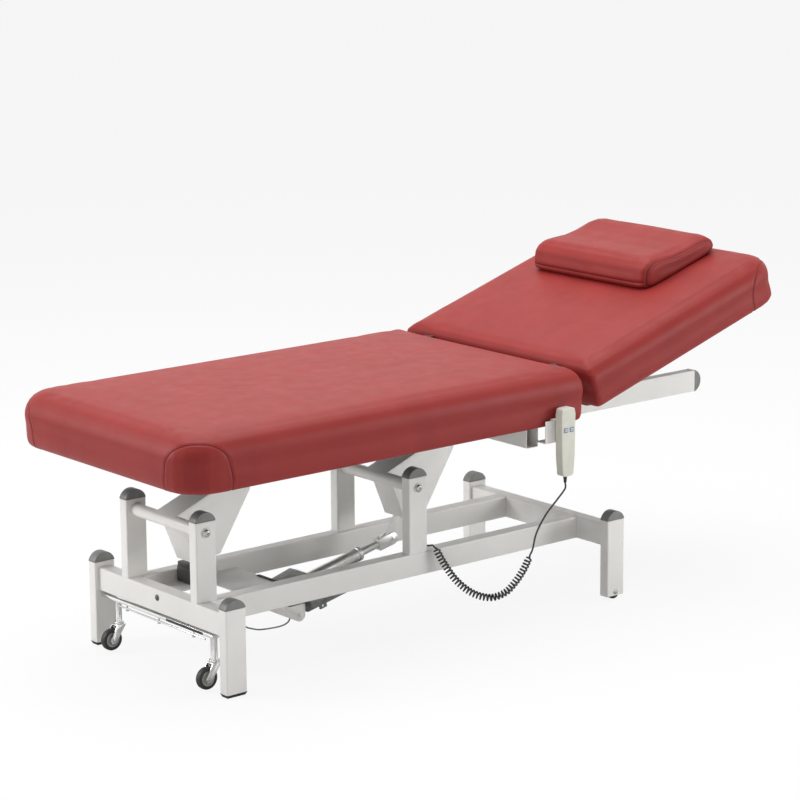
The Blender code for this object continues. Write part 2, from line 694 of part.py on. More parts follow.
def build_head_wheels(floor):
    """Transport wheels inside the head legs, each one body with its axle."""
    for side, sign in (("near", -1), ("far", 1)):
        centre = (HEAD_X - TUBE_DEEP / 2, sign * LEG_Y, LEG_WHEEL_RADIUS)
        axis = pivot_frame("head_wheel_axis_" + side, *centre, floor)
        half = LEG_WHEEL_WIDTH / 2
        outside = TUBE_THIN / 2 + GAP
        edge = half / 4
        profile = [(0, outside + AXLE_HEAD_HEIGHT), (AXLE_HEAD_RADIUS, outside + AXLE_HEAD_HEIGHT),
                   (AXLE_HEAD_RADIUS, outside), (LEG_AXLE_RADIUS, outside),
                   (LEG_AXLE_RADIUS, half), (LEG_WHEEL_RADIUS - edge, half),
                   (LEG_WHEEL_RADIUS, half - edge),
                   (LEG_WHEEL_RADIUS, edge - half), (LEG_WHEEL_RADIUS - edge, -half),
                   (LEG_AXLE_RADIUS, -half),
                   (LEG_AXLE_RADIUS, -outside), (0, -outside)]
        facing = ACROSS if sign < 0 else ACROSS @ Matrix.Rotation(math.pi, 4, "X")
        turned("head_wheel_" + side, profile, (0, 0, 0), facing, axis, RUBBER, sides=WHEEL_SIDES)


def mount_slope():
    """Ends of the mount's sloped foot edge, from under the plate to its eye."""
    head = FOOT_X + CROSS_INSET + BEAM_WIDE + GAP + PLATE_LENGTH
    high = Vector((head - MOUNT_TOP_LENGTH * 9 / 8, 0, PLATE_TOP - PLATE_THICK - MOUNT_BELLY))
    eye_x, eye_z = arc(FOOT_X + REAR_PIVOT_X, REAR_PIVOT_Z, REAR_EYE_RADIUS, MOUNT_EYE_START, 360, 8)[0]
    return Vector((eye_x, 0, eye_z)), high


def build_plate_and_mount(floor):
    """Base plate with the actuator's folded mount under it, and the control box on it."""
    foot = FOOT_X + CROSS_INSET + BEAM_WIDE + GAP
    head = foot + PLATE_LENGTH
    edge = RAIL_FACE_Y - GAP
    notch_y = PLATE_NOTCH_WIDTH - edge
    outline = [(foot, notch_y), (foot + PLATE_NOTCH_LENGTH, notch_y), (foot + PLATE_NOTCH_LENGTH, -edge),
               (head, -edge), (head, edge), (foot, edge)]
    under = PLATE_TOP - PLATE_THICK
    base_plate = plate("base_plate", [outline], PLATE_THICK, (0, 0, PLATE_TOP - PLATE_THICK / 2), UPWARD,
                       floor, COAT)
    pivot_x = FOOT_X + REAR_PIVOT_X
    weld_z = under + PLATE_THICK / 2
    mount_head = head - MOUNT_TOP_LENGTH / 8
    mount_foot = mount_slope()[1].x
    neck_z = REAR_PIVOT_Z + MOUNT_NECK
    cheek = ([(mount_foot, weld_z), (mount_foot, under - MOUNT_BELLY)]
             + arc(pivot_x, REAR_PIVOT_Z, REAR_EYE_RADIUS, MOUNT_EYE_START, 360, 8)
             + [(pivot_x + REAR_EYE_RADIUS, neck_z), (pivot_x - 2 * REAR_EYE_RADIUS, neck_z),
                (pivot_x - MOUNT_KNEE_X, under - MOUNT_KNEE_DROP), (mount_head, under),
                (mount_head, weld_z)])
    mount = plate("mount_body", [cheek], MOUNT_WIDTH, (0, 0, 0), ACROSS, floor)
    inner_width = MOUNT_WIDTH - 2 * MOUNT_SHEET
    shift = MOUNT_SHEET / math.cos(math.radians(32))
    hollow = ([(mount_foot + MOUNT_SHEET, under + PLATE_THICK + OVERRUN),
               (mount_foot + MOUNT_SHEET, under - MOUNT_BELLY + shift)]
              + [(x, z + shift) for x, z in arc(pivot_x, REAR_PIVOT_Z, REAR_EYE_RADIUS, MOUNT_EYE_START,
                                                270, 3)]
              + [(pivot_x, REAR_PIVOT_Z - REAR_EYE_RADIUS - OVERRUN),
                 (pivot_x + REAR_EYE_RADIUS + OVERRUN, REAR_PIVOT_Z - REAR_EYE_RADIUS - OVERRUN),
                 (pivot_x + REAR_EYE_RADIUS + OVERRUN, under + PLATE_THICK + OVERRUN)])
    cut(mount, plate("mount_hollow", [hollow], inner_width, (0, 0, 0), ACROSS, floor))
    pin = round_bar("rear_pin", REAR_PIN_RADIUS, (pivot_x, -MOUNT_WIDTH / 2 - MOUNT_SHEET, REAR_PIVOT_Z),
                    (pivot_x, MOUNT_WIDTH / 2 + MOUNT_SHEET, REAR_PIVOT_Z), floor)
    join(base_plate, mount, pin)
    box_x = foot + BOX_FOOT_GAP
    box_y = edge - BOX_RAIL_GAP
    control_box = block("control_box", (box_x, box_y - BOX_WIDTH, PLATE_TOP + GAP),
                        (box_x + BOX_LENGTH, box_y, PLATE_TOP + GAP + BOX_HEIGHT), floor, BLACK)
    rounding = control_box.modifiers.new("rounding", "BEVEL")
    rounding.width = BOX_ROUNDING
    rounding.segments = 2


def lower_web(share, inset=0):
    """A point on the outer face of a lever's lower web, from the pivot tube down to the toe."""
    start = Vector((PIVOT_TUBE_RADIUS * 0.85, -PIVOT_TUBE_RADIUS * 0.9))
    toe = Vector((LEVER_TOE_X, -LEVER_DROP))
    down = (toe - start).normalized()
    point = start.lerp(toe, share) + Vector((-down.y, down.x)) * inset
    return (point.x, point.y)


def lever_outline(inset=0, past=0):
    """Side view of a lever about its pivot: inset moves the webs in, past opens the back."""
    eye = LEVER_EYE_RADIUS - inset
    normal = math.degrees(ARM_REST_ANGLE) + 90
    top = arc(ARM.x, ARM.z, eye, normal, normal - 110, 6)
    heel = (LEVER_HEEL_X + past, LEVER_HEEL_RISE - LEVER_DROP - past)
    shoulder = (ARM.x + past, ARM.z - LEVER_BACK_DROP)
    head_side = [(ARM.x + eye + past, ARM.z), shoulder] if past else [shoulder]
    front = [lower_web(0, inset), (inset, 0)] + arc(0, 0, PIVOT_TUBE_RADIUS - inset, normal, normal, 1)[:1]
    return top + head_side + [heel, lower_web(1 + past / LEVER_DROP, inset)] + front


def build_lever(name, axis):
    """Folded sheet lever, welded to the tube that turns on the through bolt."""
    lever = plate(name, [lever_outline()], LEVER_WIDTH, (0, 0, 0), ACROSS, axis, COAT)
    hollow = plate(name + "_hollow", [lever_outline(LEVER_SHEET, OVERRUN)], LEVER_WIDTH - 2 * LEVER_SHEET,
                   (0, 0, 0), ACROSS, axis)
    cut(lever, hollow)
    hub = round_bar(name + "_hub", PIVOT_TUBE_RADIUS - PIVOT_TUBE_WALL / 2, (0, -LEVER_WIDTH, 0),
                    (0, LEVER_WIDTH, 0),
                    axis, sides=ROUND_SIDES)
    eye = round_bar(name + "_eye", UPPER_PIN_RADIUS + RUNNING, (ARM.x, -LEVER_WIDTH, ARM.z),
                    (ARM.x, LEVER_WIDTH, ARM.z), axis)
    opening_y = LEVER_WIDTH / 2 - LEVER_SHEET - LUG_CLEAR / 2
    opening = block(name + "_opening", (ARM.x - LUG_RADIUS - 2 * LUG_CLEAR, -opening_y, ARM.z),
                    (ARM.x + 2 * LUG_RADIUS, opening_y, ARM.z + 2 * LUG_RADIUS), axis)
    cut(lever, hub, eye, opening)
    reach = UPRIGHT_Y - TUBE_THIN / 2 - GAP
    inner = reach - 2 * LEVER_SHEET
    bore = PIVOT_TUBE_RADIUS - PIVOT_TUBE_WALL
    bush = BOLT_RADIUS + RUNNING
    profile = [(PIVOT_TUBE_RADIUS, reach), (PIVOT_TUBE_RADIUS, -reach), (bush, -reach), (bush, -inner),
               (bore, -inner),
               (bore, inner), (bush, inner), (bush, reach)]
    join(lever, turned(name + "_tube", profile, (0, 0, 0), ACROSS, axis))
    return lever


def add_front_lug(lever, axis):
    """Lug of the middle lever for the actuator's front pin, its hole open for the linkage's play."""
    eye_radius = FRONT_HOLE_RADIUS + FRONT_EYE_RIM
    outline = (arc(FRONT_PIVOT_X, -FRONT_PIVOT_DROP, eye_radius, 180, 375, 12)
               + [(LEVER_TOE_X + eye_radius, LEVER_HEEL_RISE * 2 - LEVER_DROP),
                  lower_web(0.6, LEVER_SHEET / 2),
                  lower_web(0.97, LEVER_SHEET / 2)])
    lug = plate("front_lug", [outline], FRONT_LUG_THICK, (0, 0, 0), ACROSS, axis)
    join(lever, lug)
    cut(lever, round_bar("front_hole", FRONT_HOLE_RADIUS, (FRONT_PIVOT_X, -OVERRUN, -FRONT_PIVOT_DROP),
                         (FRONT_PIVOT_X, OVERRUN, -FRONT_PIVOT_DROP), axis, sides=ROUND_SIDES))


def build_actuator(tilt, slide):
    """Motor with its gear housing, outer tube, and the rod with its fork and pin."""
    top = SHELL_H + HOUSING_RISE
    low = SHELL_H - HOUSING_BELLY
    outline = [(-HOUSING_REAR, SHELL_H + HOUSING_RISE * 0.38),
               (-HOUSING_REAR, SHELL_H + HOUSING_RISE * 0.54),
               (-HOUSING_REAR * 0.6, top - HOUSING_RISE / 9), (HOUSING_FRONT * 0.6, top),
               (HOUSING_FRONT, top - HOUSING_RISE / 3), (HOUSING_FRONT, low), (-HOUSING_REAR * 0.35, low)]
    motor = plate("actuator_motor", [outline], HOUSING_WIDTH, (0, 0, 0), ACROSS, tilt, MOTOR)
    can = round_bar("motor_can", CAN_RADIUS, (CAN_REAR, 0, SHELL_H - CAN_DROP),
                    (CAN_FRONT, 0, SHELL_H - CAN_DROP),
                    tilt, sides=ROUND_SIDES)
    lug_low = SHELL_H - CAN_DROP - CAN_RADIUS - CAN_LUG_DROP
    lug_high = SHELL_H - CAN_DROP
    lug_middle = CAN_LUG_REAR + CAN_LUG_LENGTH / 2
    lug_side = [(CAN_LUG_REAR, lug_low), (CAN_LUG_REAR + CAN_LUG_LENGTH, lug_low),
                (CAN_LUG_REAR + CAN_LUG_LENGTH, lug_high), (CAN_LUG_REAR, lug_high)]
    can_lug = plate("can_lug", [lug_side, circle(lug_middle, lug_low + CAN_LUG_DROP / 2, CAN_LUG_HOLE)],
                    CAN_LUG_THICK, (0, 0, 0), ACROSS, tilt)
    eye_width = MOUNT_WIDTH - 2 * (MOUNT_SHEET + FORK_PLAY)
    eye_radius = REAR_EYE_RADIUS - MOUNT_SHEET - FORK_PLAY
    eye_side = arc(0, 0, eye_radius, 180, 360, 8) + [(eye_radius, low + OVERRUN),
                                                     (-eye_radius, low + OVERRUN)]
    rear_eye = plate("rear_eye", [eye_side, circle(0, 0, REAR_PIN_RADIUS + RUNNING)], eye_width, (0, 0, 0),
                     ACROSS,
                     tilt)
    join(motor, can, can_lug, rear_eye)
    shell_rear = HOUSING_FRONT + GAP
    ring_rear = SHELL_FRONT - RING_LENGTH
    bore = ROD_RADIUS + RUNNING
    profile = [(RING_RADIUS, SHELL_FRONT), (RING_RADIUS, ring_rear), (SHELL_RADIUS, ring_rear),
               (SHELL_RADIUS, shell_rear), (bore, shell_rear), (bore, SHELL_FRONT)]
    lengthwise = Matrix.Rotation(math.radians(90), 4, "Y")
    turned("actuator_tube", profile, (0, 0, SHELL_H), lengthwise, tilt, STEEL)
    rod_end = FRONT_S - FORK_NECK
    rod = round_bar("actuator_rod", ROD_RADIUS, (ROD_REAR, 0, SHELL_H), (rod_end + FORK_SHEET, 0, SHELL_H),
                    slide, STEEL,
                    sides=ROUND_SIDES)
    fork_width = FRONT_LUG_THICK + 2 * (FORK_PLAY + FORK_SHEET)
    fork = plate("rod_fork", [arc(FRONT_S, SHELL_H, FORK_EYE_RADIUS, -90, 90, 8)
                              + [(rod_end, SHELL_H + FORK_EYE_RADIUS),
                                 (rod_end, SHELL_H - FORK_EYE_RADIUS)]],
                 fork_width, (0, 0, 0), ACROSS, slide)
    slot_low = SHELL_H - FORK_EYE_RADIUS - OVERRUN
    slot = block("fork_slot", (FRONT_S - FORK_THROAT, -FRONT_LUG_THICK / 2 - FORK_PLAY, slot_low),
                 (FRONT_S + FORK_EYE_RADIUS + OVERRUN, FRONT_LUG_THICK / 2 + FORK_PLAY,
                  SHELL_H * 2 - slot_low), slide)
    cut(fork, slot)
    pin_reach = fork_width / 2 + FORK_SHEET / 2
    front_pin = round_bar("front_pin", FRONT_PIN_RADIUS, (FRONT_S, -pin_reach, SHELL_H),
                          (FRONT_S, pin_reach, SHELL_H), slide)
    join(rod, fork, front_pin)


def build_top_frame(carriage):
    """Side rails with outriggers, cross tubes with the levers' lugs, and the hand switch's hook."""
    mid = (TOP_LOW + TOP_HIGH) / 2
    cross_x = {"foot": FOOT_X + FOOT_PIVOT_X + ARM.x, "mid": FOOT_X + MID_UPRIGHT_X + ARM.x}
    rail_middle = FOOT_X + (TOP_RAIL_FOOT_X + TOP_RAIL_HEAD_X) / 2
    rail_length = TOP_RAIL_HEAD_X - TOP_RAIL_FOOT_X
    rails = {}
    for side, sign in (("near", -1), ("far", 1)):
        rail = steel_tube("top_rail_" + side, TUBE_THIN, TUBE_DEEP, rail_length,
                          (rail_middle, sign * TOP_RAIL_Y, mid), ALONG, carriage)
        start = TOP_RAIL_Y + TUBE_THIN / 2 - TUBE_WALL / 2
        outrigger = steel_tube("outrigger_" + side, BEAM_WIDE, TUBE_DEEP, OUTRIGGER_REACH - start,
                               (cross_x["mid"], sign * (OUTRIGGER_REACH + start) / 2, mid), ACROSS,
                               carriage, None)
        join(rail, outrigger)
        end_cap("top_rail_cap_" + side, (FOOT_X + TOP_RAIL_HEAD_X + GAP, sign * TOP_RAIL_Y, mid),
                Matrix.Rotation(math.radians(90), 4, "Y"), carriage)
        rails[side] = rail
    cross_length = 2 * (TOP_RAIL_FACE_Y - GAP)
    pivot_z = TOP_LOW - TOP_PIVOT_DROP
    lug_y = LEVER_WIDTH / 2 - LEVER_SHEET - LUG_CLEAR - LUG_THICK / 2
    for end, x in cross_x.items():
        cross = steel_tube("top_cross_" + end, BEAM_WIDE, TUBE_DEEP, cross_length, (x, 0, mid), ACROSS,
                           carriage)
        for sign in (-1, 1):
            lug = plate("lug", [arc(x, pivot_z, LUG_RADIUS - LUG_CLEAR * 2, 180, 360, 8)
                                + [(x + LUG_RADIUS, TOP_LOW + TUBE_WALL / 2),
                                   (x - LUG_RADIUS, TOP_LOW + TUBE_WALL / 2)]],
                        LUG_THICK, (0, sign * lug_y, 0), ACROSS, carriage)
            join(cross, lug)
        pin_reach = LEVER_WIDTH / 2 + LUG_CLEAR
        join(cross, round_bar("upper_pin", UPPER_PIN_RADIUS, (x, -pin_reach, pivot_z),
                              (x, pin_reach, pivot_z), carriage))
    build_hook(rails["near"], carriage)


def build_hook(rail, carriage):
    """Bent strip on the near outrigger's end, under the seat and up beside it."""
    inner = -OUTRIGGER_REACH + TUBE_WALL / 2
    outer = HOOK_FACE_Y - HOOK_SHEET
    strip = [(inner, HOOK_LOW_Z), (outer, HOOK_LOW_Z), (outer, HOOK_TOP_Z), (HOOK_FACE_Y, HOOK_TOP_Z),
             (HOOK_FACE_Y, HOOK_LOW_Z + HOOK_SHEET), (inner, HOOK_LOW_Z + HOOK_SHEET)]
    middle = (FOOT_X + HOOK_FOOT_X + HOOK_WIDTH / 2, 0, 0)
    hook = plate("switch_hook", [strip], HOOK_WIDTH, middle, ALONG, carriage)
    join(rail, hook)


def plan_outline(low_x, high_x, half_y, foot_turn, head_turn):
    """Plan of a cushion or its board, with its own corner radius at each end."""
    foot_turn = max(foot_turn, LEAST_TURN)
    head_turn = max(head_turn, LEAST_TURN)
    return (arc(high_x - head_turn, half_y - head_turn, head_turn, 0, 90, CORNER_POINTS)
            + arc(low_x + foot_turn, half_y - foot_turn, foot_turn, 90, 180, CORNER_POINTS)
            + arc(low_x + foot_turn, foot_turn - half_y, foot_turn, 180, 270, CORNER_POINTS)
            + arc(high_x - head_turn, head_turn - half_y, head_turn, 270, 360, CORNER_POINTS))


def cushion_mesh(name, length, width, thick, foot_radius, head_radius, foot_seam, head_seam, pocket):
    """Upholstered cushion from x = 0: soft top edge, drawn-in sides, crowned top, board pocket under it."""
    def ring(inset, height, foot_inset=None, head_inset=None):
        low_x = inset if foot_inset is None else foot_inset
        high_x = length - (inset if head_inset is None else head_inset)
        outline = plan_outline(low_x, high_x, width / 2 - inset, foot_radius - inset, head_radius - inset)
        return [(x, y, height) for x, y in outline]

    top = thick - CROWN
    rings = [ring(BOARD_INSET, pocket), ring(BOARD_INSET, 0), ring(HEM, 0), ring(DRAW_IN / 2, HEM),
             ring(DRAW_IN, thick * 0.35), ring(0, thick * 0.55)]
    for step in range(SEAM_STEPS + 1):
        turn = math.radians(90) * step / SEAM_STEPS
        inset = SEAM_RADIUS * (1 - math.cos(turn))
        rings.append(ring(inset, top - SEAM_RADIUS * (1 - math.sin(turn)),
                          foot_seam * (1 - math.cos(turn)), head_seam * (1 - math.cos(turn))))
    for inset_share, rise_share in CROWN_SHARES:
        inset = SEAM_RADIUS + (width / 2 - SEAM_RADIUS) * inset_share
        rings.append(ring(inset, top + CROWN * rise_share))
    return loft_mesh(name, rings)


def build_seat(carriage):
    """Seat cushion and the board in the pocket under it."""
    low_x = FOOT_X + SEAT_FOOT_X
    length = SEAT_HEAD_X - SEAT_FOOT_X
    pocket = BOARD_THICK + GAP
    mesh = cushion_mesh("seat_cushion", length, TABLE_WIDTH, SEAT_THICK, PLAN_RADIUS, END_RADIUS,
                        SEAM_RADIUS,
                        CREASE_RADIUS, pocket)
    add_object("seat_cushion", mesh, carriage, Matrix.Translation((low_x, 0, SEAT_LOW)), LEATHER)
    inset = BOARD_INSET + GAP
    outline = plan_outline(low_x + inset, low_x + length - inset, TABLE_WIDTH / 2 - inset,
                           PLAN_RADIUS - inset,
                           END_RADIUS - inset)
    plate("seat_board", [outline], BOARD_THICK - GAP, (0, 0, SEAT_LOW + (BOARD_THICK - GAP) / 2), UPWARD,
          carriage, WOOD)


def hinge_knuckle(x, z, leaf_x, sign, low_y, high_y, parent):
    """Solid hinge knuckle with the short tab that ties it to its leaf."""
    spread = math.degrees(math.asin(HINGE_PIN_RADIUS / KNUCKLE_RADIUS))
    start = 180 if leaf_x < x else 0
    outline = arc(x, z, KNUCKLE_RADIUS, start + spread, start + 360 - spread, THIN_SIDES - 3)
    tab = [(leaf_x, outline[-1][1]), (leaf_x, outline[0][1])]
    return plate("knuckle", [outline + tab], high_y - low_y, (0, sign * (high_y + low_y) / 2, 0), ACROSS,
                 parent)


def build_frame_hinge(carriage):
    """Cross tube under the seat's head end with the fixed hinge leaf and the strut's lower lugs."""
    leaf_face = FOOT_X + HINGE_X - FRAME_LEAF_FACE
    leaf_foot = leaf_face - LEAF_SHEET
    mid = (TOP_LOW + TOP_HIGH) / 2
    cross = steel_tube("top_cross_hinge", BEAM_WIDE, TUBE_DEEP, 2 * (TOP_RAIL_FACE_Y - GAP),
                       (leaf_foot + TUBE_WALL / 2 - BEAM_WIDE / 2, 0, mid), ACROSS, carriage)
    bar_low = HINGE_Z - LEAF_BAR_LOW
    bar_high = HINGE_Z - LEAF_BAR_HIGH
    strap = LEAF_END_Y - 2 * KNUCKLE_LENGTH
    foot_low = TOP_LOW + TUBE_CORNER
    top = HINGE_Z + HINGE_PIN_RADIUS + GAP
    half = [(LEAF_FOOT_WIDTH / 2, foot_low), (LEAF_FOOT_WIDTH / 2, bar_low),
            (LEAF_END_Y, bar_low + LEAF_SHEET),
            (LEAF_END_Y, top), (strap, top), (strap, bar_high)]
    outline = half + [(-y, z) for y, z in reversed(half)]
    leaf = plate("frame_leaf", [outline], LEAF_SHEET, ((leaf_face + leaf_foot) / 2, 0, 0), ALONG, carriage)
    join(cross, leaf)
    pivot_x = FOOT_X + HINGE_X
    for sign in (-1, 1):
        low_y = LEAF_END_Y - KNUCKLE_LENGTH + GAP
        pin = round_bar("hinge_pin", HINGE_PIN_RADIUS, (pivot_x, sign * strap, HINGE_Z),
                        (pivot_x, sign * (LEAF_END_Y - KNUCKLE_LENGTH / 2), HINGE_Z), carriage)
        join(cross, hinge_knuckle(pivot_x, HINGE_Z, (leaf_face + leaf_foot) / 2, sign, low_y,
                                  LEAF_END_Y + GAP,
                                  carriage), pin)
    anchor_x = FOOT_X + ANCHOR_X
    lug_y = STRUT_EYE_WIDTH / 2 + STRUT_PLAY
    lug_radius = STRUT_EYE_RADIUS
    for sign in (-1, 1):
        lug = plate("strut_lug", [arc(anchor_x, ANCHOR_Z, lug_radius, -90, 90, 6)
                                  + [(leaf_face - LEAF_SHEET / 2, ANCHOR_Z + lug_radius * 2),
                                     (leaf_face - LEAF_SHEET / 2, ANCHOR_Z - lug_radius)]],
                    STRUT_CHEEK, (0, sign * (lug_y + STRUT_CHEEK / 2), 0), ACROSS, carriage)
        join(cross, lug)
    reach = lug_y + STRUT_CHEEK * 2
    join(cross, round_bar("lower_strut_pin", STRUT_PIN_RADIUS, (anchor_x, -reach, ANCHOR_Z),
                          (anchor_x, reach, ANCHOR_Z), carriage))


def build_back(hinge):
    """Back cushion, its board, and the steel frame with the moving hinge leaf and the strut's slot."""
    length = BACK_LENGTH - BACK_START
    thick = BACK_ABOVE + BACK_BELOW
    mesh = cushion_mesh("back_cushion", length, TABLE_WIDTH, thick, END_RADIUS, PLAN_RADIUS, CREASE_RADIUS,
                        SEAM_RADIUS, HEM)
    add_object("back_cushion", mesh, hinge, Matrix.Translation((BACK_START, 0, -BACK_BELOW)), LEATHER)
    board_high = -BACK_BELOW - GAP
    board_low = board_high - BOARD_THICK
    board_mid = (board_high + board_low) / 2
    start = BACK_START + GAP
    end = BACK_LENGTH - BACK_BOARD_HEAD_INSET
    outline = plan_outline(start, end, TABLE_WIDTH / 2 - BACK_BOARD_INSET, END_RADIUS,
                           PLAN_RADIUS - BACK_BOARD_INSET / 2)
    plate("back_board", [outline], BOARD_THICK, (0, 0, board_mid), UPWARD, hinge, WOOD)
    leaf_mid = LEAF_STANDOFF + LEAF_SHEET / 2
    foot_high = board_low - GAP
    foot_low = foot_high - LEAF_SHEET
    bar_low = -LEAF_BAR_LOW
    bar_high = -LEAF_BAR_HIGH
    strap = LEAF_END_Y - 2 * KNUCKLE_LENGTH
    knuckle_out = LEAF_END_Y - KNUCKLE_LENGTH - GAP
    clear = -KNUCKLE_RADIUS - LEAF_SHEET
    top = HINGE_PIN_RADIUS + GAP
    half = [(LEAF_FOOT_WIDTH / 2, foot_low + LEAF_SHEET / 2), (LEAF_FOOT_WIDTH / 2, bar_low),
            (LEAF_END_Y, bar_low + LEAF_SHEET), (LEAF_END_Y, clear), (knuckle_out - GAP, clear),
            (knuckle_out - GAP, top), (strap + GAP, top), (strap + GAP, bar_high)]
    leaf = plate("back_frame", [half + [(-y, z) for y, z in reversed(half)]], LEAF_SHEET, (leaf_mid, 0, 0),
                 ALONG, hinge,
                 COAT)
    cheek_out = STRUT_EYE_WIDTH / 2 + STRUT_PLAY + STRUT_CHEEK
    slot_high = SLOT_AHEAD + SLOT_HALF_WIDTH - STRUT_W
    slot_low = -STRUT_W - SLOT_BEHIND
    cheek_foot = STRUT_U - 2 * SLOT_HALF_WIDTH
    cheek_head = STRUT_U + 2 * SLOT_HALF_WIDTH
    strip_y = cheek_out + STRUT_CHEEK
    foot_y = LEAF_FOOT_WIDTH / 2 + STRUT_CHEEK
    strip_end = cheek_head + STRUT_CHEEK
    half_plan = [(LEAF_STANDOFF - GAP, foot_y), (LEAF_FOOT_LENGTH, foot_y), (LEAF_FOOT_LENGTH, strip_y),
                 (strip_end, strip_y)]
    join(leaf, plate("frame_strip", [half_plan + [(x, -y) for x, y in reversed(half_plan)]], LEAF_SHEET,
                     (0, 0, (foot_low + foot_high) / 2), UPWARD, hinge))
    for sign in (-1, 1):
        middle = sign * (cheek_out - STRUT_CHEEK / 2)
        join(leaf, block("slot_cheek", (cheek_foot, middle - STRUT_CHEEK / 2, slot_low - STRUT_CHEEK * 2),
                         (cheek_head, middle + STRUT_CHEEK / 2, foot_low + STRUT_CHEEK / 2), hinge))
        join(leaf, hinge_knuckle(0, 0, leaf_mid, sign, strap, knuckle_out, hinge))
        cut(leaf, round_bar("knuckle_bore", HINGE_PIN_RADIUS + RUNNING, (0, sign * (strap - OVERRUN), 0),
                            (0, sign * (knuckle_out + OVERRUN), 0), hinge))
    slot = (arc(STRUT_U, slot_high - SLOT_HALF_WIDTH, SLOT_HALF_WIDTH, 0, 180, 8)
            + arc(STRUT_U, slot_low + SLOT_HALF_WIDTH, SLOT_HALF_WIDTH, 180, 360, 8))
    cut(leaf, plate("pin_slot", [slot], 2 * (cheek_out + OVERRUN), (0, 0, 0), ACROSS, hinge))


def build_strut(tilt, slide, length):
    """Gas strut: cylinder on the frame's lugs, rod reaching the slot under the back."""
    end = STRUT_CYLINDER
    bore = STRUT_ROD_RADIUS + RUNNING
    rear = STRUT_EYE_RADIUS + STRUT_PLAY
    cylinder = round_bar("strut_cylinder", STRUT_RADIUS, (rear, 0, 0), (end, 0, 0), tilt, BLACK,
                         sides=ROUND_SIDES)
    eye = plate("strut_lower_eye", [arc(0, 0, STRUT_EYE_RADIUS, 90, 270, 8)
                                    + [(rear + STRUT_PLAY, -STRUT_EYE_RADIUS),
                                       (rear + STRUT_PLAY, STRUT_EYE_RADIUS)]],
                STRUT_EYE_WIDTH, (0, 0, 0), ACROSS, tilt)
    join(cylinder, eye)
    cut(cylinder,
        round_bar("strut_bore", bore, (STRUT_BORE_REAR, 0, 0), (end + OVERRUN, 0, 0), tilt),
        round_bar("lower_eye_hole", STRUT_PIN_RADIUS + RUNNING, (0, -STRUT_EYE_WIDTH, 0),
                  (0, STRUT_EYE_WIDTH, 0), tilt))
    rod = round_bar("strut_rod", STRUT_ROD_RADIUS, (STRUT_ROD_REAR, 0, 0), (length, 0, 0), slide, CHROME)
    block_rear = length - STRUT_EYE_RADIUS - STRUT_PLAY
    upper = plate("strut_upper_eye", [arc(length, 0, STRUT_EYE_RADIUS, -90, 90, 8)
                                      + [(block_rear, STRUT_EYE_RADIUS), (block_rear, -STRUT_EYE_RADIUS)]],
                  STRUT_EYE_WIDTH, (0, 0, 0), ACROSS, slide)
    reach = STRUT_EYE_WIDTH / 2 + STRUT_PLAY + STRUT_CHEEK * 2
    join(rod, upper, round_bar("upper_strut_pin", STRUT_PIN_RADIUS, (length, -reach, 0),
                               (length, reach, 0), slide))


def build_pillow(lift):
    """Contour pillow: tall at the seat side, dipped, low at the head side, its ends drawn in."""
    tall = PILLOW_TALL
    low = PILLOW_LOW
    dip = low * 0.99
    edge = PILLOW_EDGE
    rise_shares = ((0.02, 0.48), (0.06, 0.82), (0.12, 0.97), (0.19, 1.0), (0.30, 0.91), (0.45, 0.78))
    profile = [(0.06 * PILLOW_LENGTH, 0), (0, edge)]
    profile += [(x * PILLOW_LENGTH, z * tall) for x, z in rise_shares]
    profile += [(0.62 * PILLOW_LENGTH, dip), (0.80 * PILLOW_LENGTH, low),
                (0.93 * PILLOW_LENGTH, low * 0.90),
                (0.985 * PILLOW_LENGTH, low * 0.60), (PILLOW_LENGTH, edge), (0.95 * PILLOW_LENGTH, 0),
                (PILLOW_LENGTH / 2, 0)]
    middle = (PILLOW_LENGTH / 2, low / 2)
    stations = ((0, 0.80, 0.62), (0.012, 0.91, 0.80), (0.035, 0.97, 0.93), (0.09, 0.995, 0.99), (0.3, 1, 1),
                (0.5, 1, 1.01))
    half_shares = stations + tuple((1 - y, wide, high) for y, wide, high in reversed(stations[:-1]))
    rings = []
    for y_share, wide, high in half_shares:
        rings.append([(middle[0] + (x - middle[0]) * wide, y_share * PILLOW_WIDTH,
                       max(GAP, middle[1] * (1 - high) * 0.6 + z * high)) for x, z in profile])
    mesh = loft_mesh("pillow", rings)
    place = Matrix.Translation((PILLOW_START, PILLOW_LOW_Y, BACK_ABOVE))
    add_object("pillow", mesh, lift, place, LEATHER)


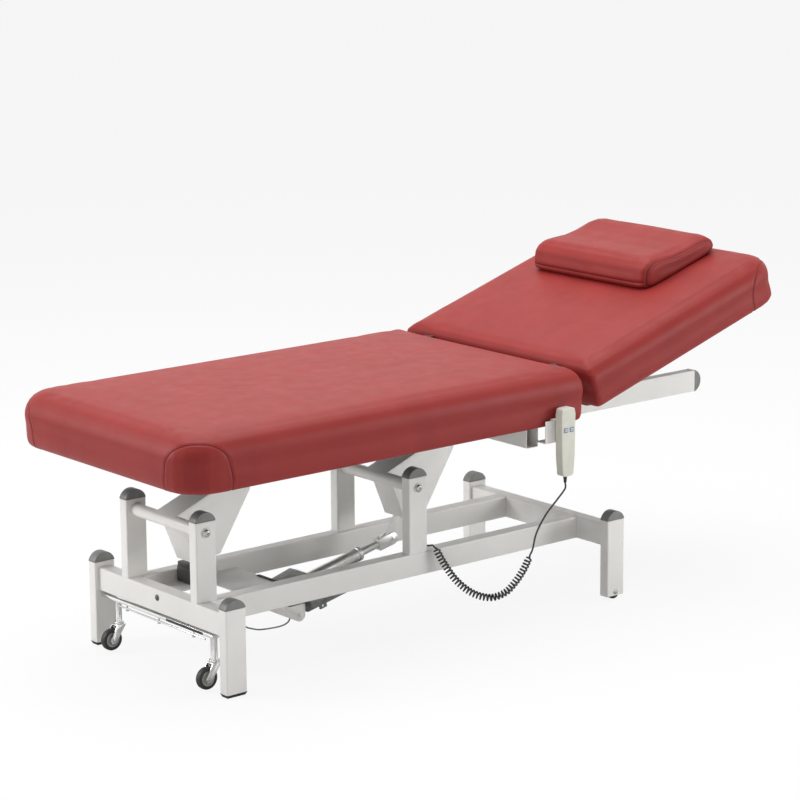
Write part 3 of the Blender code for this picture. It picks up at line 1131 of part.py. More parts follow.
def build_hand_switch(lift):
    """Shell with its belt clip, two buttons and the cord's strain relief."""
    x = FOOT_X + SWITCH_X
    top = SWITCH_LOW_Z + SWITCH_LENGTH
    shoulder = top - SWITCH_LENGTH * 0.10
    waist = SWITCH_LOW_Z + SWITCH_LENGTH * 0.30
    half = SWITCH_WIDTH / 2
    neck = SWITCH_NECK / 2
    crown = SWITCH_WIDTH * 0.11
    right = [(neck * 0.72, SWITCH_LOW_Z), (neck, SWITCH_LOW_Z + SWITCH_ROUND), (half * 0.94, waist),
             (half, shoulder),
             (half * 0.86, top - crown / 2), (half * 0.5, top)]
    outline = right + [(-across, z) for across, z in reversed(right)]
    middle_y = SWITCH_BACK_Y - SWITCH_DEEP / 2
    shell = plate("switch_shell", [outline], SWITCH_DEEP, (x, middle_y, 0), ACROSS, lift, CREAM)
    rounding = shell.modifiers.new("rounding", "BEVEL")
    rounding.width = SWITCH_ROUND
    rounding.segments = 2
    rounding.limit_method = "ANGLE"
    rounding.angle_limit = math.radians(60)
    clip_back = HOOK_FACE_Y + CLIP_PLAY
    bridge_low = HOOK_TOP_Z + GAP
    clip_half = HOOK_WIDTH / 4
    clip_x = FOOT_X + HOOK_FOOT_X + HOOK_WIDTH - clip_half
    clip = block("clip", (clip_x - clip_half, clip_back, bridge_low + CLIP_BRIDGE - CLIP_LENGTH),
                 (clip_x + clip_half, clip_back + CLIP_SHEET, bridge_low + CLIP_BRIDGE), lift)
    bridge = block("clip_bridge", (clip_x - clip_half, SWITCH_BACK_Y - SWITCH_ROUND, bridge_low),
                   (clip_x + clip_half, clip_back + CLIP_SHEET / 2, bridge_low + CLIP_BRIDGE), lift)
    join(shell, clip, bridge)
    face_y = SWITCH_BACK_Y - SWITCH_DEEP
    for name, sign in (("button_up", 1), ("button_down", -1)):
        middle = Vector((x + sign * BUTTON_PITCH / 2, 0, top - BUTTON_DROP))
        half_pocket = BUTTON_SIZE / 2 + RUNNING
        pocket_floor = face_y + BUTTON_DEEP
        cut(shell, block(name + "_pocket", (middle.x - half_pocket, face_y - OVERRUN,
                                            middle.z - half_pocket),
                         (middle.x + half_pocket, pocket_floor, middle.z + half_pocket), lift))
        press = pivot_frame(name + "_press", middle.x, face_y, middle.z, lift)
        half_button = BUTTON_SIZE / 2
        block(name, (-half_button, -BUTTON_STAND, -half_button),
              (half_button, BUTTON_DEEP - BUTTON_TRAVEL - GAP, half_button), press, BUTTON_BLUE)
    low = SWITCH_LOW_Z - GAP
    profile = [(0, 0), (RELIEF_RADIUS, 0), (RELIEF_RADIUS * 0.75, -RELIEF_LENGTH), (0, -RELIEF_LENGTH)]
    turned("switch_strain_relief", profile, (x, middle_y, low), UPWARD, lift, CREAM, sides=THIN_SIDES)


def from_foot(points):
    """Move points given from the foot end's leg faces to the table's own frame."""
    return [Vector((FOOT_X + x, y, z)) for x, y, z in points]


def curly_points():
    """The curly cord: its tail over the rail, its helix on a smooth route, and a straight upper end."""
    route = smooth_route(from_foot(CURL_ROUTE), CORD_RADIUS)
    count = CURLS * CURL_POINTS
    side = Vector((0, 1, 0))
    points = []
    for index in range(count + 1):
        place = index / count * (len(route) - 1)
        lower = min(int(place), len(route) - 2)
        centre = route[lower].lerp(route[lower + 1], place - lower)
        ahead = (route[lower + 1] - route[lower]).normalized()
        side = (side - ahead * side.dot(ahead)).normalized()
        third = ahead.cross(side)
        turn = 2 * math.pi * index / CURL_POINTS
        ramp = min(1, index / CURL_POINTS, (count - index) / CURL_POINTS)
        points.append(centre + (side * math.cos(turn) + third * math.sin(turn)) * CURL_RADIUS * ramp)
    inlet = (TAIL_ROUTE[-1][0], GAP - RAIL_FACE_Y, TAIL_ROUTE[-1][2])
    tail = smooth_route(from_foot(TAIL_ROUTE + (inlet,)), 4 * CORD_RADIUS)
    last = (route[-1] - route[-2]).normalized() * 2 * CORD_RADIUS
    return tail[::-1] + points + [points[-1] + last]


def least_gap(points, radius, along):
    """Least clear distance of a cord to itself, between stretches more than along points apart."""
    least = math.inf
    for index, point in enumerate(points):
        for other in points[index + along:]:
            least = min(least, (point - other).length)
    return least - 2 * radius


def build_cords(floor, carriage):
    """Curly cord, its straight run up to the hand switch, and the actuator's cable."""
    curls = curly_points()
    print("least gap of the curly cord to itself: %.2f mm"
          % (least_gap(curls, CORD_RADIUS, CURL_POINTS // 2) * 1000))
    cord_tube("cord_curls", curls, CORD_RADIUS, 1, floor, CORD_GREY)
    ahead = (curls[-1] - curls[-2]).normalized()
    switch = Vector((FOOT_X + SWITCH_X, SWITCH_BACK_Y - SWITCH_DEEP / 2,
                     SWITCH_LOW_Z - RELIEF_LENGTH - 2 * GAP))
    lead = ([curls[-1] + ahead * GAP, curls[-1] + ahead * LEAD_END] + from_foot(LEAD_ROUTE)
            + [switch - Vector((0, 0, LEAD_END)), switch])
    cord_tube("cord_lead", smooth_route(lead, 4 * CORD_RADIUS), CORD_RADIUS, 2, carriage, CORD_GREY)
    low, high = mount_slope()
    fall = (high.z - low.z) / (high.x - low.x)
    place = Vector((FOOT_X + CABLE_START[0], CABLE_START[1], 0))
    place.z = low.z + fall * (place.x - low.x)
    outward = Vector((fall, 0, -1)).normalized()
    plate_under = PLATE_TOP - PLATE_THICK
    end = from_foot(CABLE_ROUTE)[-1]
    end.z = plate_under - GAP
    cable = [place + outward * GAP, place + outward * LEAD_END / 2] + from_foot(CABLE_ROUTE) + [end]
    cord_tube("actuator_cable", smooth_route(cable, 4 * CABLE_RADIUS), CABLE_RADIUS, 2, floor, CORD_GREY)


def build_caster_carriage(slide):
    """Flat bar under the foot cross member, on guide pins, with both casters' stems."""
    x = FOOT_X + CASTER_X
    low = BAR_TOP_Z - BAR_THICK
    bar = block("caster_bar", (x - BAR_WIDTH / 2, BAR_Y_LOW, low),
                (x + BAR_WIDTH / 2, BAR_Y_HIGH, BAR_TOP_Z), slide,
                STEEL)
    for sign in (-1, 1):
        join(bar, round_bar("guide_pin", GUIDE_RADIUS, (x, sign * GUIDE_Y, low + BAR_THICK / 2),
                            (x, sign * GUIDE_Y, BAR_TOP_Z + GUIDE_RISE), slide))
        stem_low = FORK_TOP_Z + GAP
        flange_high = stem_low + FLANGE_THICK
        join(bar, round_bar("caster_stem", STEM_RADIUS,
                            (x, sign * CASTER_Y, flange_high - FLANGE_THICK / 2),
                            (x, sign * CASTER_Y, low + BAR_THICK / 2), slide),
             round_bar("caster_flange", FLANGE_RADIUS, (x, sign * CASTER_Y, stem_low),
                       (x, sign * CASTER_Y, flange_high),
                       slide))


def build_caster(side, sign, slide):
    """Swivel fork and wheel, trailing towards the foot end."""
    swivel = pivot_frame("caster_swivel_" + side, FOOT_X + CASTER_X, sign * CASTER_Y, 0, slide)
    centre_z = CASTER_FLOOR + CASTER_WHEEL_RADIUS
    inner = CASTER_WHEEL_WIDTH / 2 + 4 * GAP
    outer = inner + FORK_PLATE
    axle_side = FORK_SIDE_WIDTH / 2
    cheek = [(-FLANGE_RADIUS, FORK_TOP_Z), (-CASTER_TRAIL - axle_side, centre_z),
             (-CASTER_TRAIL - axle_side / 2, centre_z - axle_side),
             (-CASTER_TRAIL + axle_side / 2, centre_z - axle_side),
             (FLANGE_RADIUS, FORK_TOP_Z)]
    fork = plate("caster_fork_" + side, [cheek], 2 * outer, (0, 0, 0), ACROSS, swivel, CHROME)
    cut(fork, block("fork_inside", (-CASTER_TRAIL - CASTER_WHEEL_RADIUS, -inner, 0),
                    (FLANGE_RADIUS + OVERRUN, inner, FORK_TOP_Z - FORK_PLATE), swivel))
    join(fork, round_bar("caster_axle", CASTER_AXLE_RADIUS, (-CASTER_TRAIL, -outer - FORK_PLATE, centre_z),
                         (-CASTER_TRAIL, outer + FORK_PLATE, centre_z), swivel))
    axle = pivot_frame("caster_wheel_axis_" + side, -CASTER_TRAIL, 0, centre_z, swivel)
    half = CASTER_WHEEL_WIDTH / 2
    edge = half / 3
    bore = CASTER_AXLE_RADIUS + RUNNING
    profile = [(bore, half), (CASTER_WHEEL_RADIUS - edge, half), (CASTER_WHEEL_RADIUS, half - edge),
               (CASTER_WHEEL_RADIUS, edge - half), (CASTER_WHEEL_RADIUS - edge, -half), (bore, -half)]
    turned("caster_wheel_" + side, profile, (0, 0, 0), ACROSS, axle, RUBBER)


def build_table():
    """Build every piece on the frame that it moves with."""
    floor = pivot_frame("floor", 0, MIDDLE_Y, 0)
    build_base(floor)
    for name, x in (("foot_pivot_bolt", FOOT_X + FOOT_PIVOT_X), ("mid_pivot_bolt", FOOT_X + MID_UPRIGHT_X)):
        pivot_bolt(name, x, floor)
    build_head_wheels(floor)
    build_plate_and_mount(floor)

    foot_axis = pivot_frame("foot_lever_axis", FOOT_X + FOOT_PIVOT_X, 0, PIVOT_HEIGHT, floor)
    build_lever("foot_lever", foot_axis)
    mid_axis = pivot_frame("mid_lever_axis", FOOT_X + MID_UPRIGHT_X, 0, PIVOT_HEIGHT, floor)
    add_front_lug(build_lever("mid_lever", mid_axis), mid_axis)
    actuator_tilt = pivot_frame("actuator_axis", FOOT_X + REAR_PIVOT_X, 0, REAR_PIVOT_Z, floor,
                                ACTUATOR_ANGLE)
    actuator_slide = pivot_frame("actuator_stroke", 0, 0, 0, actuator_tilt)
    build_actuator(actuator_tilt, actuator_slide)

    level = pivot_frame("top_frame_axis", *ARM, mid_axis)
    carriage = pivot_frame("top_frame", -FOOT_X - MID_UPRIGHT_X - ARM.x, 0, -PIVOT_HEIGHT - ARM.z, level)
    build_top_frame(carriage)
    build_frame_hinge(carriage)
    build_seat(carriage)
    back_hinge = pivot_frame("back_hinge_axis", FOOT_X + HINGE_X, 0, HINGE_Z, carriage, BACK_ANGLE)
    build_back(back_hinge)
    pillow_lift = pivot_frame("pillow_lift", 0, 0, 0, back_hinge)
    build_pillow(pillow_lift)
    reach_x = (HINGE_X + STRUT_U * math.cos(BACK_ANGLE) + STRUT_W * math.sin(BACK_ANGLE)) - ANCHOR_X
    reach_z = (HINGE_Z + STRUT_U * math.sin(BACK_ANGLE) - STRUT_W * math.cos(BACK_ANGLE)) - ANCHOR_Z
    strut_tilt = pivot_frame("strut_axis", FOOT_X + ANCHOR_X, 0, ANCHOR_Z, carriage,
                             math.atan2(reach_z, reach_x))
    strut_slide = pivot_frame("strut_stroke", 0, 0, 0, strut_tilt)
    build_strut(strut_tilt, strut_slide, math.hypot(reach_x, reach_z))

    switch_lift = pivot_frame("switch_lift", 0, 0, 0, carriage)
    build_hand_switch(switch_lift)
    build_cords(floor, carriage)

    caster_slide = pivot_frame("caster_slide", 0, 0, 0, floor)
    build_caster_carriage(caster_slide)
    for side, sign in (("near", -1), ("far", 1)):
        build_caster(side, sign, caster_slide)


build_table()
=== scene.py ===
"""Dressed model of an electric massage table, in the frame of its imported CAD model.

Metres, +Z up, +X towards the head end. The hand switch hangs on the -Y side, called near here.
Each sub-assembly is a class that builds its own pieces and dresses the CAD nodes it keeps.
"""

import logging
import math
from dataclasses import dataclass
from enum import Enum
from functools import cache
from itertools import product
from typing import Callable, Iterable, Sequence, TypeVar

import bmesh
import bpy
import numpy as np
from mathutils import Matrix, Vector

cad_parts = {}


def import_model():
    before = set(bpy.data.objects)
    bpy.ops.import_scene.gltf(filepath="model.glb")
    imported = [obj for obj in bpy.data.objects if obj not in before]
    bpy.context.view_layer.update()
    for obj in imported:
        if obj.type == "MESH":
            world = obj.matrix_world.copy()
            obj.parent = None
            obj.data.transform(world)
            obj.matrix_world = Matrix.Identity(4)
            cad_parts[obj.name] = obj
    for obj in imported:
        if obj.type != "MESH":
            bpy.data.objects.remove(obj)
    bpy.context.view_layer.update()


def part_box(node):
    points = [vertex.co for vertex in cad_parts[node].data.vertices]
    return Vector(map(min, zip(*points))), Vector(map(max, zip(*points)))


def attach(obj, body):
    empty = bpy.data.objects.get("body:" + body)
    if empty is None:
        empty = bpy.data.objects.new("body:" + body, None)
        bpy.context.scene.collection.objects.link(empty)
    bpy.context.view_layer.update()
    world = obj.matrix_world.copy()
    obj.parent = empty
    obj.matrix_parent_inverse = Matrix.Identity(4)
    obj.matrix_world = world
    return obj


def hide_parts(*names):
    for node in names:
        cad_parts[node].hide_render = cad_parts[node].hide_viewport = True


LOG = logging.getLogger("massage_table")

Colour = tuple[float, float, float]
Point = tuple[float, float, float]
Profile = Sequence[tuple[float, float]]
SeamMap = tuple[np.ndarray, np.ndarray]      # distance to the seam, and the way along it
Choice = TypeVar("Choice")
Piece = bpy.types.Object
Material = bpy.types.Material
Socket = bpy.types.NodeSocket

FOOT_X = -0.8345715         # foot end of the base
MIDDLE_Y = 0.01775          # the table's own middle plane
FOOT_PIVOT_X = -0.79307     # pivots of the two lift levers
MID_PIVOT_X = -0.12757
PIVOT_Z = 0.378
BACK_HINGE = (0.25943, MIDDLE_Y, 0.655)
BACK_TILT = 17.4            # degrees of the back section at rest
GAP = 0.0003                # clearance of pieces that must not share a face
MERGE = 0.000002            # points of a piece that lie closer are one
CAD_MERGE = 0.00001         # the same for a copy of a CAD node
FLAT = 1.5                  # degrees between faces of a CAD copy that are taken as one


class Body(Enum):
    """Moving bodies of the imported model."""

    BASE = "base"
    FOOT_LEVER = "foot_lever"
    MID_LEVER = "mid_lever"
    ACTUATOR = "actuator"
    ACTUATOR_ROD = "actuator_rod"
    TOP_FRAME = "top_frame"
    BACK = "back"
    STRUT_CYLINDER = "strut_cylinder"
    STRUT_ROD = "strut_rod"
    PILLOW = "pillow"
    HAND_SWITCH = "hand_switch"
    BUTTON_UP = "button_up"
    BUTTON_DOWN = "button_down"
    CARRIAGE = "caster_carriage"
    FORK_NEAR = "caster_fork_near"
    FORK_FAR = "caster_fork_far"
    WHEEL_NEAR = "caster_wheel_near"
    WHEEL_FAR = "caster_wheel_far"
    LEG_WHEEL_NEAR = "head_wheel_near"
    LEG_WHEEL_FAR = "head_wheel_far"


class Slot(Enum):
    """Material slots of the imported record."""

    COAT = "frame_coat"
    CAP = "cap_plastic"
    BLACK = "black_plastic"
    ZINC = "zinc_steel"
    CHROME = "chrome"
    MOTOR = "motor_metal"
    RUBBER = "rubber"
    UPHOLSTERY = "upholstery"
    PLYWOOD = "plywood"
    SWITCH = "switch_plastic"
    BUTTON = "button_plastic"
    CORD = "cord_sheath"


class Side(Enum):
    """Long sides of the table, with the sign of Y."""

    NEAR = -1
    FAR = 1

    @property
    def word(self) -> str:
        """Name of the side as the CAD nodes write it."""
        return self.name.lower()

    @property
    def outward(self) -> str:
        """Axis that points out of the table on this side."""
        return self.pick("-Y", "Y")

    @property
    def inward(self) -> str:
        """Axis that points to the table's middle from this side."""
        return self.pick("Y", "-Y")

    def pick(self, near: Choice, far: Choice) -> Choice:
        """The one of two values that belongs to this side."""
        return near if self is Side.NEAR else far


class Tree:
    """A node tree that is built up node by node."""

    def __init__(self, tree: bpy.types.NodeTree) -> None:
        """Take a tree to build on."""
        self.tree = tree

    def add(self, kind: str, inputs: dict[str | int, object] | None = None, **settings: object) -> bpy.types.Node:
        """Add a node, set its own properties and feed its inputs."""
        node = self.tree.nodes.new(kind)
        for key, value in settings.items():
            setattr(node, key, value)
        for key, value in (inputs or {}).items():
            self.feed(node.inputs[key], value)
        return node

    def feed(self, socket: Socket, value: object) -> None:
        """Link a socket, or set its constant."""
        if isinstance(value, Socket):
            self.tree.links.new(value, socket)
        else:
            socket.default_value = (*value, 1) if socket.type == "RGBA" else value

    def math(self, operation: str, first: object, second: object = 0.0) -> Socket:
        """One arithmetic step."""
        return self.add("ShaderNodeMath", {0: first, 1: second}, operation=operation).outputs[0]

    def remap(self, value: object, start: tuple[float, float], end: tuple[float, float],
              smooth: bool = False) -> Socket:
        """Read a value from one range into another, clamped."""
        inputs = {"Value": value, "From Min": start[0], "From Max": start[1], "To Min": end[0], "To Max": end[1]}
        course = "SMOOTHSTEP" if smooth else "LINEAR"
        return self.add("ShaderNodeMapRange", inputs, interpolation_type=course).outputs["Result"]


class Graph(Tree):
    """Shader nodes of one material, on Object coordinates."""

    def __init__(self, name: str) -> None:
        """Start a material with a plain Principled surface.

        Args:
            name: Name of the material.
        """
        self.material = bpy.data.materials.new(name)
        self.material.use_nodes = True
        super().__init__(self.material.node_tree)
        self.surface = self.tree.nodes["Principled BSDF"]
        self.place = self.add("ShaderNodeTexCoord").outputs["Object"]

    def split(self, vector: Socket) -> bpy.types.NodeOutputs:
        """The three numbers of a vector, by the names X, Y and Z."""
        return self.add("ShaderNodeSeparateXYZ", {0: vector}).outputs

    def noise(self, scale: float, detail: float = 3, roughness: float = 0.55,
              place: Socket | None = None) -> Socket:
        """Smooth noise of that many cells a metre."""
        inputs = {"Vector": place or self.place, "Scale": scale, "Detail": detail, "Roughness": roughness}
        return self.add("ShaderNodeTexNoise", inputs).outputs["Fac"]

    def cells(self, scale: float, feature: str = "F1") -> Socket:
        """Distance inside cells of that many a metre."""
        inputs = {"Vector": self.place, "Scale": scale}
        return self.add("ShaderNodeTexVoronoi", inputs, feature=feature).outputs["Distance"]

    def attribute(self, name: str) -> Socket:
        """Number kept on the mesh's points under that name."""
        return self.add("ShaderNodeAttribute", attribute_name=name).outputs["Fac"]

    def mottle(self, scale: float, detail: float, low: float, high: float, most: float = 1) -> Socket:
        """Soft patches: none where the noise is low, most where it is high."""
        return self.remap(self.noise(scale, detail), (low, high), (0, most))

    def uneven(self, scale: float, value: float, less: float, more: float) -> Socket:
        """A value that wanders from a little less to a little more."""
        return self.remap(self.noise(scale), (0.3, 0.7), (value - less, value + more))

    def blend(self, share: object, first: object, second: object) -> Socket:
        """Mix two colours by a share."""
        return self.add("ShaderNodeMix", {"Factor": share, 6: first, 7: second}, data_type="RGBA").outputs[2]

    def bump(self, height: object, depth: float, strength: float = 1.0, under: Socket | None = None) -> Socket:
        """Relief of that many metres from black to white, laid over another where one is given."""
        inputs = {"Strength": strength, "Distance": depth, "Height": height}
        if under is not None:
            inputs["Normal"] = under
        return self.add("ShaderNodeBump", inputs).outputs["Normal"]

    def dress(self, colour: object, roughness: object, normal: Socket | None = None,
              **constants: float) -> Material:
        """Feed the surface, with constants straight on its sockets.

        Args:
            colour: Base colour, as a tuple or a socket.
            roughness: Roughness, as a number or a socket.
            normal: Relief, where there is any.
            constants: Other sockets by name, spaces written as underscores.

        Returns:
            The finished material.
        """
        self.feed(self.surface.inputs["Base Color"], colour)
        self.feed(self.surface.inputs["Roughness"], roughness)
        if normal is not None:
            self.feed(self.surface.inputs["Normal"], normal)
        for key, value in constants.items():
            self.surface.inputs[key.replace("_", " ")].default_value = value
        return self.material


@dataclass(frozen=True)
class PowderCoat:
    """Warm white powder coating with a fine orange peel."""

    name: str = "powder_coat"
    colour: Colour = (0.84, 0.83, 0.80)
    shade: Colour = (0.80, 0.79, 0.76)
    roughness: float = 0.36
    peel: float = 420
    speck: Colour = (0.55, 0.54, 0.52)

    def make(self) -> Material:
        """Build the material."""
        graph = Graph(self.name)
        colour = graph.blend(graph.mottle(1300, 1, 0.70, 0.76, 0.25), self.coat(graph), self.speck)
        return graph.dress(colour, graph.uneven(40, self.roughness, 0.04, 0.06), self.relief(graph))

    def coat(self, graph: Graph) -> Socket:
        """Slow drift between the two tones of the coating."""
        return graph.blend(graph.mottle(7, 4, 0.35, 0.65), self.colour, self.shade)

    def relief(self, graph: Graph) -> Socket:
        """Orange peel."""
        return graph.bump(graph.noise(self.peel, 2), 0.0003, 0.22)


@dataclass(frozen=True)
class HingeCoat(PowderCoat):
    """Powder coating with painted shade along the back's hinge, where the gap between seat and back falls dark."""

    name: str = "hinge_coat"
    reach: float = 0.013
    fade: float = 0.003
    lowest: float = 0.555
    # Red-black painted shade of the gap between the cushions at the hinge.
    steel: Colour = (0.030, 0.018, 0.017)

    def make(self) -> Material:
        """Build the material."""
        graph = Graph(self.name)
        way = graph.split(graph.place)
        across = graph.math("ABSOLUTE", graph.math("SUBTRACT", way["X"], BACK_HINGE[0]))
        near = graph.remap(across, (self.reach, self.reach + self.fade), (1, 0), True)
        high = graph.remap(way["Z"], (self.lowest, self.lowest + 0.02), (0, 1), True)
        # Near the hinge and above the lowest height, the coat turns to painted shade of the gap between seat and
        # back.
        colour = graph.blend(graph.math("MULTIPLY", near, high), self.coat(graph), self.steel)
        return graph.dress(colour, self.roughness + 0.08, self.relief(graph))


@dataclass(frozen=True)
class Moulding:
    """Moulded plastic or rubber with a spark-eroded grain."""

    name: str
    colour: Colour
    shade: Colour
    roughness: float
    grain: float = 1400
    depth: float = 0.00012

    def make(self) -> Material:
        """Build the material."""
        graph = Graph(self.name)
        colour = graph.blend(graph.mottle(28, 4, 0.35, 0.68), self.colour, self.shade)
        relief = graph.bump(graph.noise(self.grain, 2), self.depth, 0.5)
        return graph.dress(colour, graph.uneven(150, self.roughness, 0.06, 0.08), relief)


@dataclass(frozen=True)
class BareMetal:
    """Zinc, bare ferrous metal or chrome, with fine lines along one axis and faint smudges."""

    name: str
    colour: Colour
    shade: Colour
    roughness: float
    lines: Point = (1, 1, 1)
    line_depth: float = 0.00004
    spangle: float = 0

    def make(self) -> Material:
        """Build the material."""
        graph = Graph(self.name)
        smudge = graph.mottle(60, 4, 0.35, 0.7)
        colour = graph.blend(smudge, self.colour, self.shade)
        if self.spangle:
            flakes = graph.remap(graph.cells(self.spangle), (0.1, 0.7), (0, 0.5))
            colour = graph.blend(flakes, colour, self.shade)
        roughness = graph.remap(smudge, (0, 1), (self.roughness, self.roughness + 0.10))
        drawn = graph.add("ShaderNodeMapping", {"Vector": graph.place, "Scale": self.lines}).outputs["Vector"]
        relief = graph.bump(graph.noise(900, 2, place=drawn), self.line_depth, 0.5)
        return graph.dress(colour, roughness, relief, Metallic=1.0)


@dataclass(frozen=True)
class MetallicPaint:
    """Grey paint on cast and pressed metal, with grime in it."""

    name: str = "motor_paint"
    colour: Colour = (0.30, 0.31, 0.29)
    shade: Colour = (0.17, 0.175, 0.165)
    roughness: float = 0.42

    def make(self) -> Material:
        """Build the material."""
        graph = Graph(self.name)
        colour = graph.blend(graph.mottle(34, 5, 0.40, 0.72), self.colour, self.shade)
        relief = graph.bump(graph.noise(700), 0.0003, 0.4)
        return graph.dress(colour, graph.uneven(80, self.roughness, 0.05, 0.12), relief, Metallic=0.5)


@dataclass(frozen=True)
class Leatherette:
    """Red coated fabric: pebbled grain, soft creases and sewn seams.

    The mesh's attribute seam is the distance to the nearest seam, and run the way along it.
    """

    name: str = "red_leatherette"
    colour: Colour = (0.288, 0.029, 0.026)
    shade: Colour = (0.256, 0.025, 0.022)
    # Dark red painted shade in the seam's crease.
    groove: Colour = (0.055, 0.008, 0.008)
    thread: Colour = (0.16, 0.020, 0.018)
    roughness: float = 0.46
    pebbles: float = 620
    seam_width: float = 0.0021
    stitch_offset: float = 0.0065
    stitch_length: float = 0.0042
    stitch_share: float = 0.68

    def make(self) -> Material:
        """Build the material."""
        graph = Graph(self.name)
        colour = graph.blend(graph.mottle(9, 4, 0.35, 0.68), self.colour, self.shade)
        pores = graph.cells(self.pebbles, "SMOOTH_F1")
        colour = graph.blend(graph.remap(pores, (0.45, 0.85), (0, 0.30)), colour, self.shade)
        relief = graph.bump(self.creases(graph), 0.0012, 0.06)
        relief = graph.bump(graph.math("SUBTRACT", 1.0, pores), 0.00022, 0.45, relief)
        colour, relief = self.seams(graph, colour, relief)
        roughness = graph.uneven(22, self.roughness, 0.03, 0.05)
        return graph.dress(colour, roughness, relief, Specular_IOR_Level=0.20)

    def creases(self, graph: Graph) -> Socket:
        """Swirling lines of a soft cover."""
        swirl = graph.add("ShaderNodeTexNoise", {"Vector": graph.place, "Scale": 16}).outputs["Color"]
        warped = graph.add("ShaderNodeVectorMath", {0: graph.place, 1: swirl}, operation="ADD")
        return graph.noise(30, 3, 0.5, warped.outputs["Vector"])

    def seams(self, graph: Graph, colour: Socket, relief: Socket) -> tuple[Socket, Socket]:
        """Lay the seam's groove, painted dark as shade in its crease, and its row of stitches over the cover.

        Args:
            graph: Graph of the material.
            colour: Colour of the cover.
            relief: Relief of the cover.

        Returns:
            Colour and relief with the seams in them.
        """
        distance = graph.attribute("seam")
        line = graph.remap(graph.math("ABSOLUTE", distance), (0, self.seam_width), (1, 0), True)
        # The groove's colour is painted shade in the seam's crease, over the sunk relief below.
        colour = graph.blend(graph.math("MULTIPLY", line, 0.82), colour, self.groove)
        relief = graph.bump(graph.math("SUBTRACT", 1.0, line), 0.0012, 0.9, relief)
        dashes = graph.math("FRACT", graph.math("DIVIDE", graph.attribute("run"), self.stitch_length))
        dash = graph.math("LESS_THAN", dashes, self.stitch_share)
        offset = graph.math("ABSOLUTE", graph.math("SUBTRACT", distance, self.stitch_offset))
        thread = graph.math("MULTIPLY", graph.remap(offset, (0.0003, 0.0008), (1, 0), True), dash)
        colour = graph.blend(graph.math("MULTIPLY", thread, 0.45), colour, self.thread)
        row = graph.remap(offset, (0, 0.0022), (0, 1), True)
        relief = graph.bump(graph.math("ADD", row, graph.math("MULTIPLY", thread, 0.5)), 0.0003, 0.5, relief)
        return colour, relief


@dataclass(frozen=True)
class WrappedBoard:
    """Plywood board with the red cover pulled round its edge, and a woven lining under it."""

    name: str = "wrapped_board"
    red: Colour = (0.25, 0.027, 0.025)
    lining: Colour = (0.018, 0.018, 0.019)
    worn: Colour = (0.035, 0.035, 0.036)
    weave: float = 900
    facing_down: float = -0.7

    def make(self) -> Material:
        """Build the material."""
        graph = Graph(self.name)
        way = graph.split(graph.add("ShaderNodeTexCoord").outputs["Normal"])
        flat = graph.math("LESS_THAN", way["Z"], self.facing_down)
        cloth = graph.blend(graph.mottle(self.weave, 2, 0.4, 0.6), self.lining, self.worn)
        relief = graph.bump(graph.cells(self.weave), 0.0002, 0.5)
        return graph.dress(graph.blend(flat, self.red, cloth), 0.6, relief)


class Finish(Enum):
    """Every finish of the table."""

    COAT = PowderCoat()
    HINGE = HingeCoat()
    WELD = PowderCoat("coated_weld", (0.77, 0.76, 0.735), (0.70, 0.69, 0.665), 0.32, 900)
    CAP = Moulding("grey_cap_plastic", (0.20, 0.20, 0.196), (0.165, 0.165, 0.162), 0.40)
    BLACK = Moulding("black_plastic", (0.022, 0.022, 0.023), (0.014, 0.014, 0.015), 0.42)
    CASE = Moulding("charcoal_case", (0.085, 0.085, 0.082), (0.065, 0.065, 0.063), 0.46)
    RUBBER = Moulding("black_rubber", (0.020, 0.020, 0.020), (0.030, 0.029, 0.028), 0.68, 900, 0.0002)
    TREAD = Moulding("tyre_rubber", (0.016, 0.016, 0.017), (0.026, 0.025, 0.024), 0.52, 1100, 0.0002)
    HUB = Moulding("wheel_centre", (0.42, 0.42, 0.41), (0.36, 0.36, 0.35), 0.38)
    SHELL = Moulding("cream_plastic", (0.69, 0.685, 0.60), (0.64, 0.635, 0.55), 0.36, 1700, 0.00008)
    BUTTON = Moulding("blue_button", (0.12, 0.20, 0.40), (0.10, 0.17, 0.35), 0.40)
    CORD = Moulding("cord_sheath", (0.052, 0.052, 0.054), (0.036, 0.036, 0.038), 0.40, 800, 0.00008)
    CABLE = Moulding("grey_sheath", (0.20, 0.20, 0.195), (0.15, 0.15, 0.148), 0.45, 800, 0.00008)
    ZINC = BareMetal("zinc_plate", (0.60, 0.60, 0.58), (0.42, 0.42, 0.41), 0.26, (1, 6, 1), spangle=420)
    DARK_STEEL = BareMetal("dark_steel", (0.16, 0.16, 0.155), (0.10, 0.10, 0.10), 0.38, (1, 1, 6))
    DRAWN_STEEL = BareMetal("drawn_steel", (0.74, 0.74, 0.72), (0.62, 0.62, 0.61), 0.34, (6, 6, 1))
    CHROME = BareMetal("chrome_plate", (0.78, 0.78, 0.77), (0.68, 0.68, 0.68), 0.09, line_depth=0.00001)
    MOTOR = MetallicPaint()
    LEATHER = Leatherette()
    BOARD = WrappedBoard()

    @cache
    def material(self) -> Material:
        """The finish's material, built when it is first asked for."""
        return self.value.make()


def link(name: str, data: bpy.types.ID) -> Piece:
    """New object of some data, in the scene."""
    piece = bpy.data.objects.new(name, data)
    bpy.context.scene.collection.objects.link(piece)
    return piece


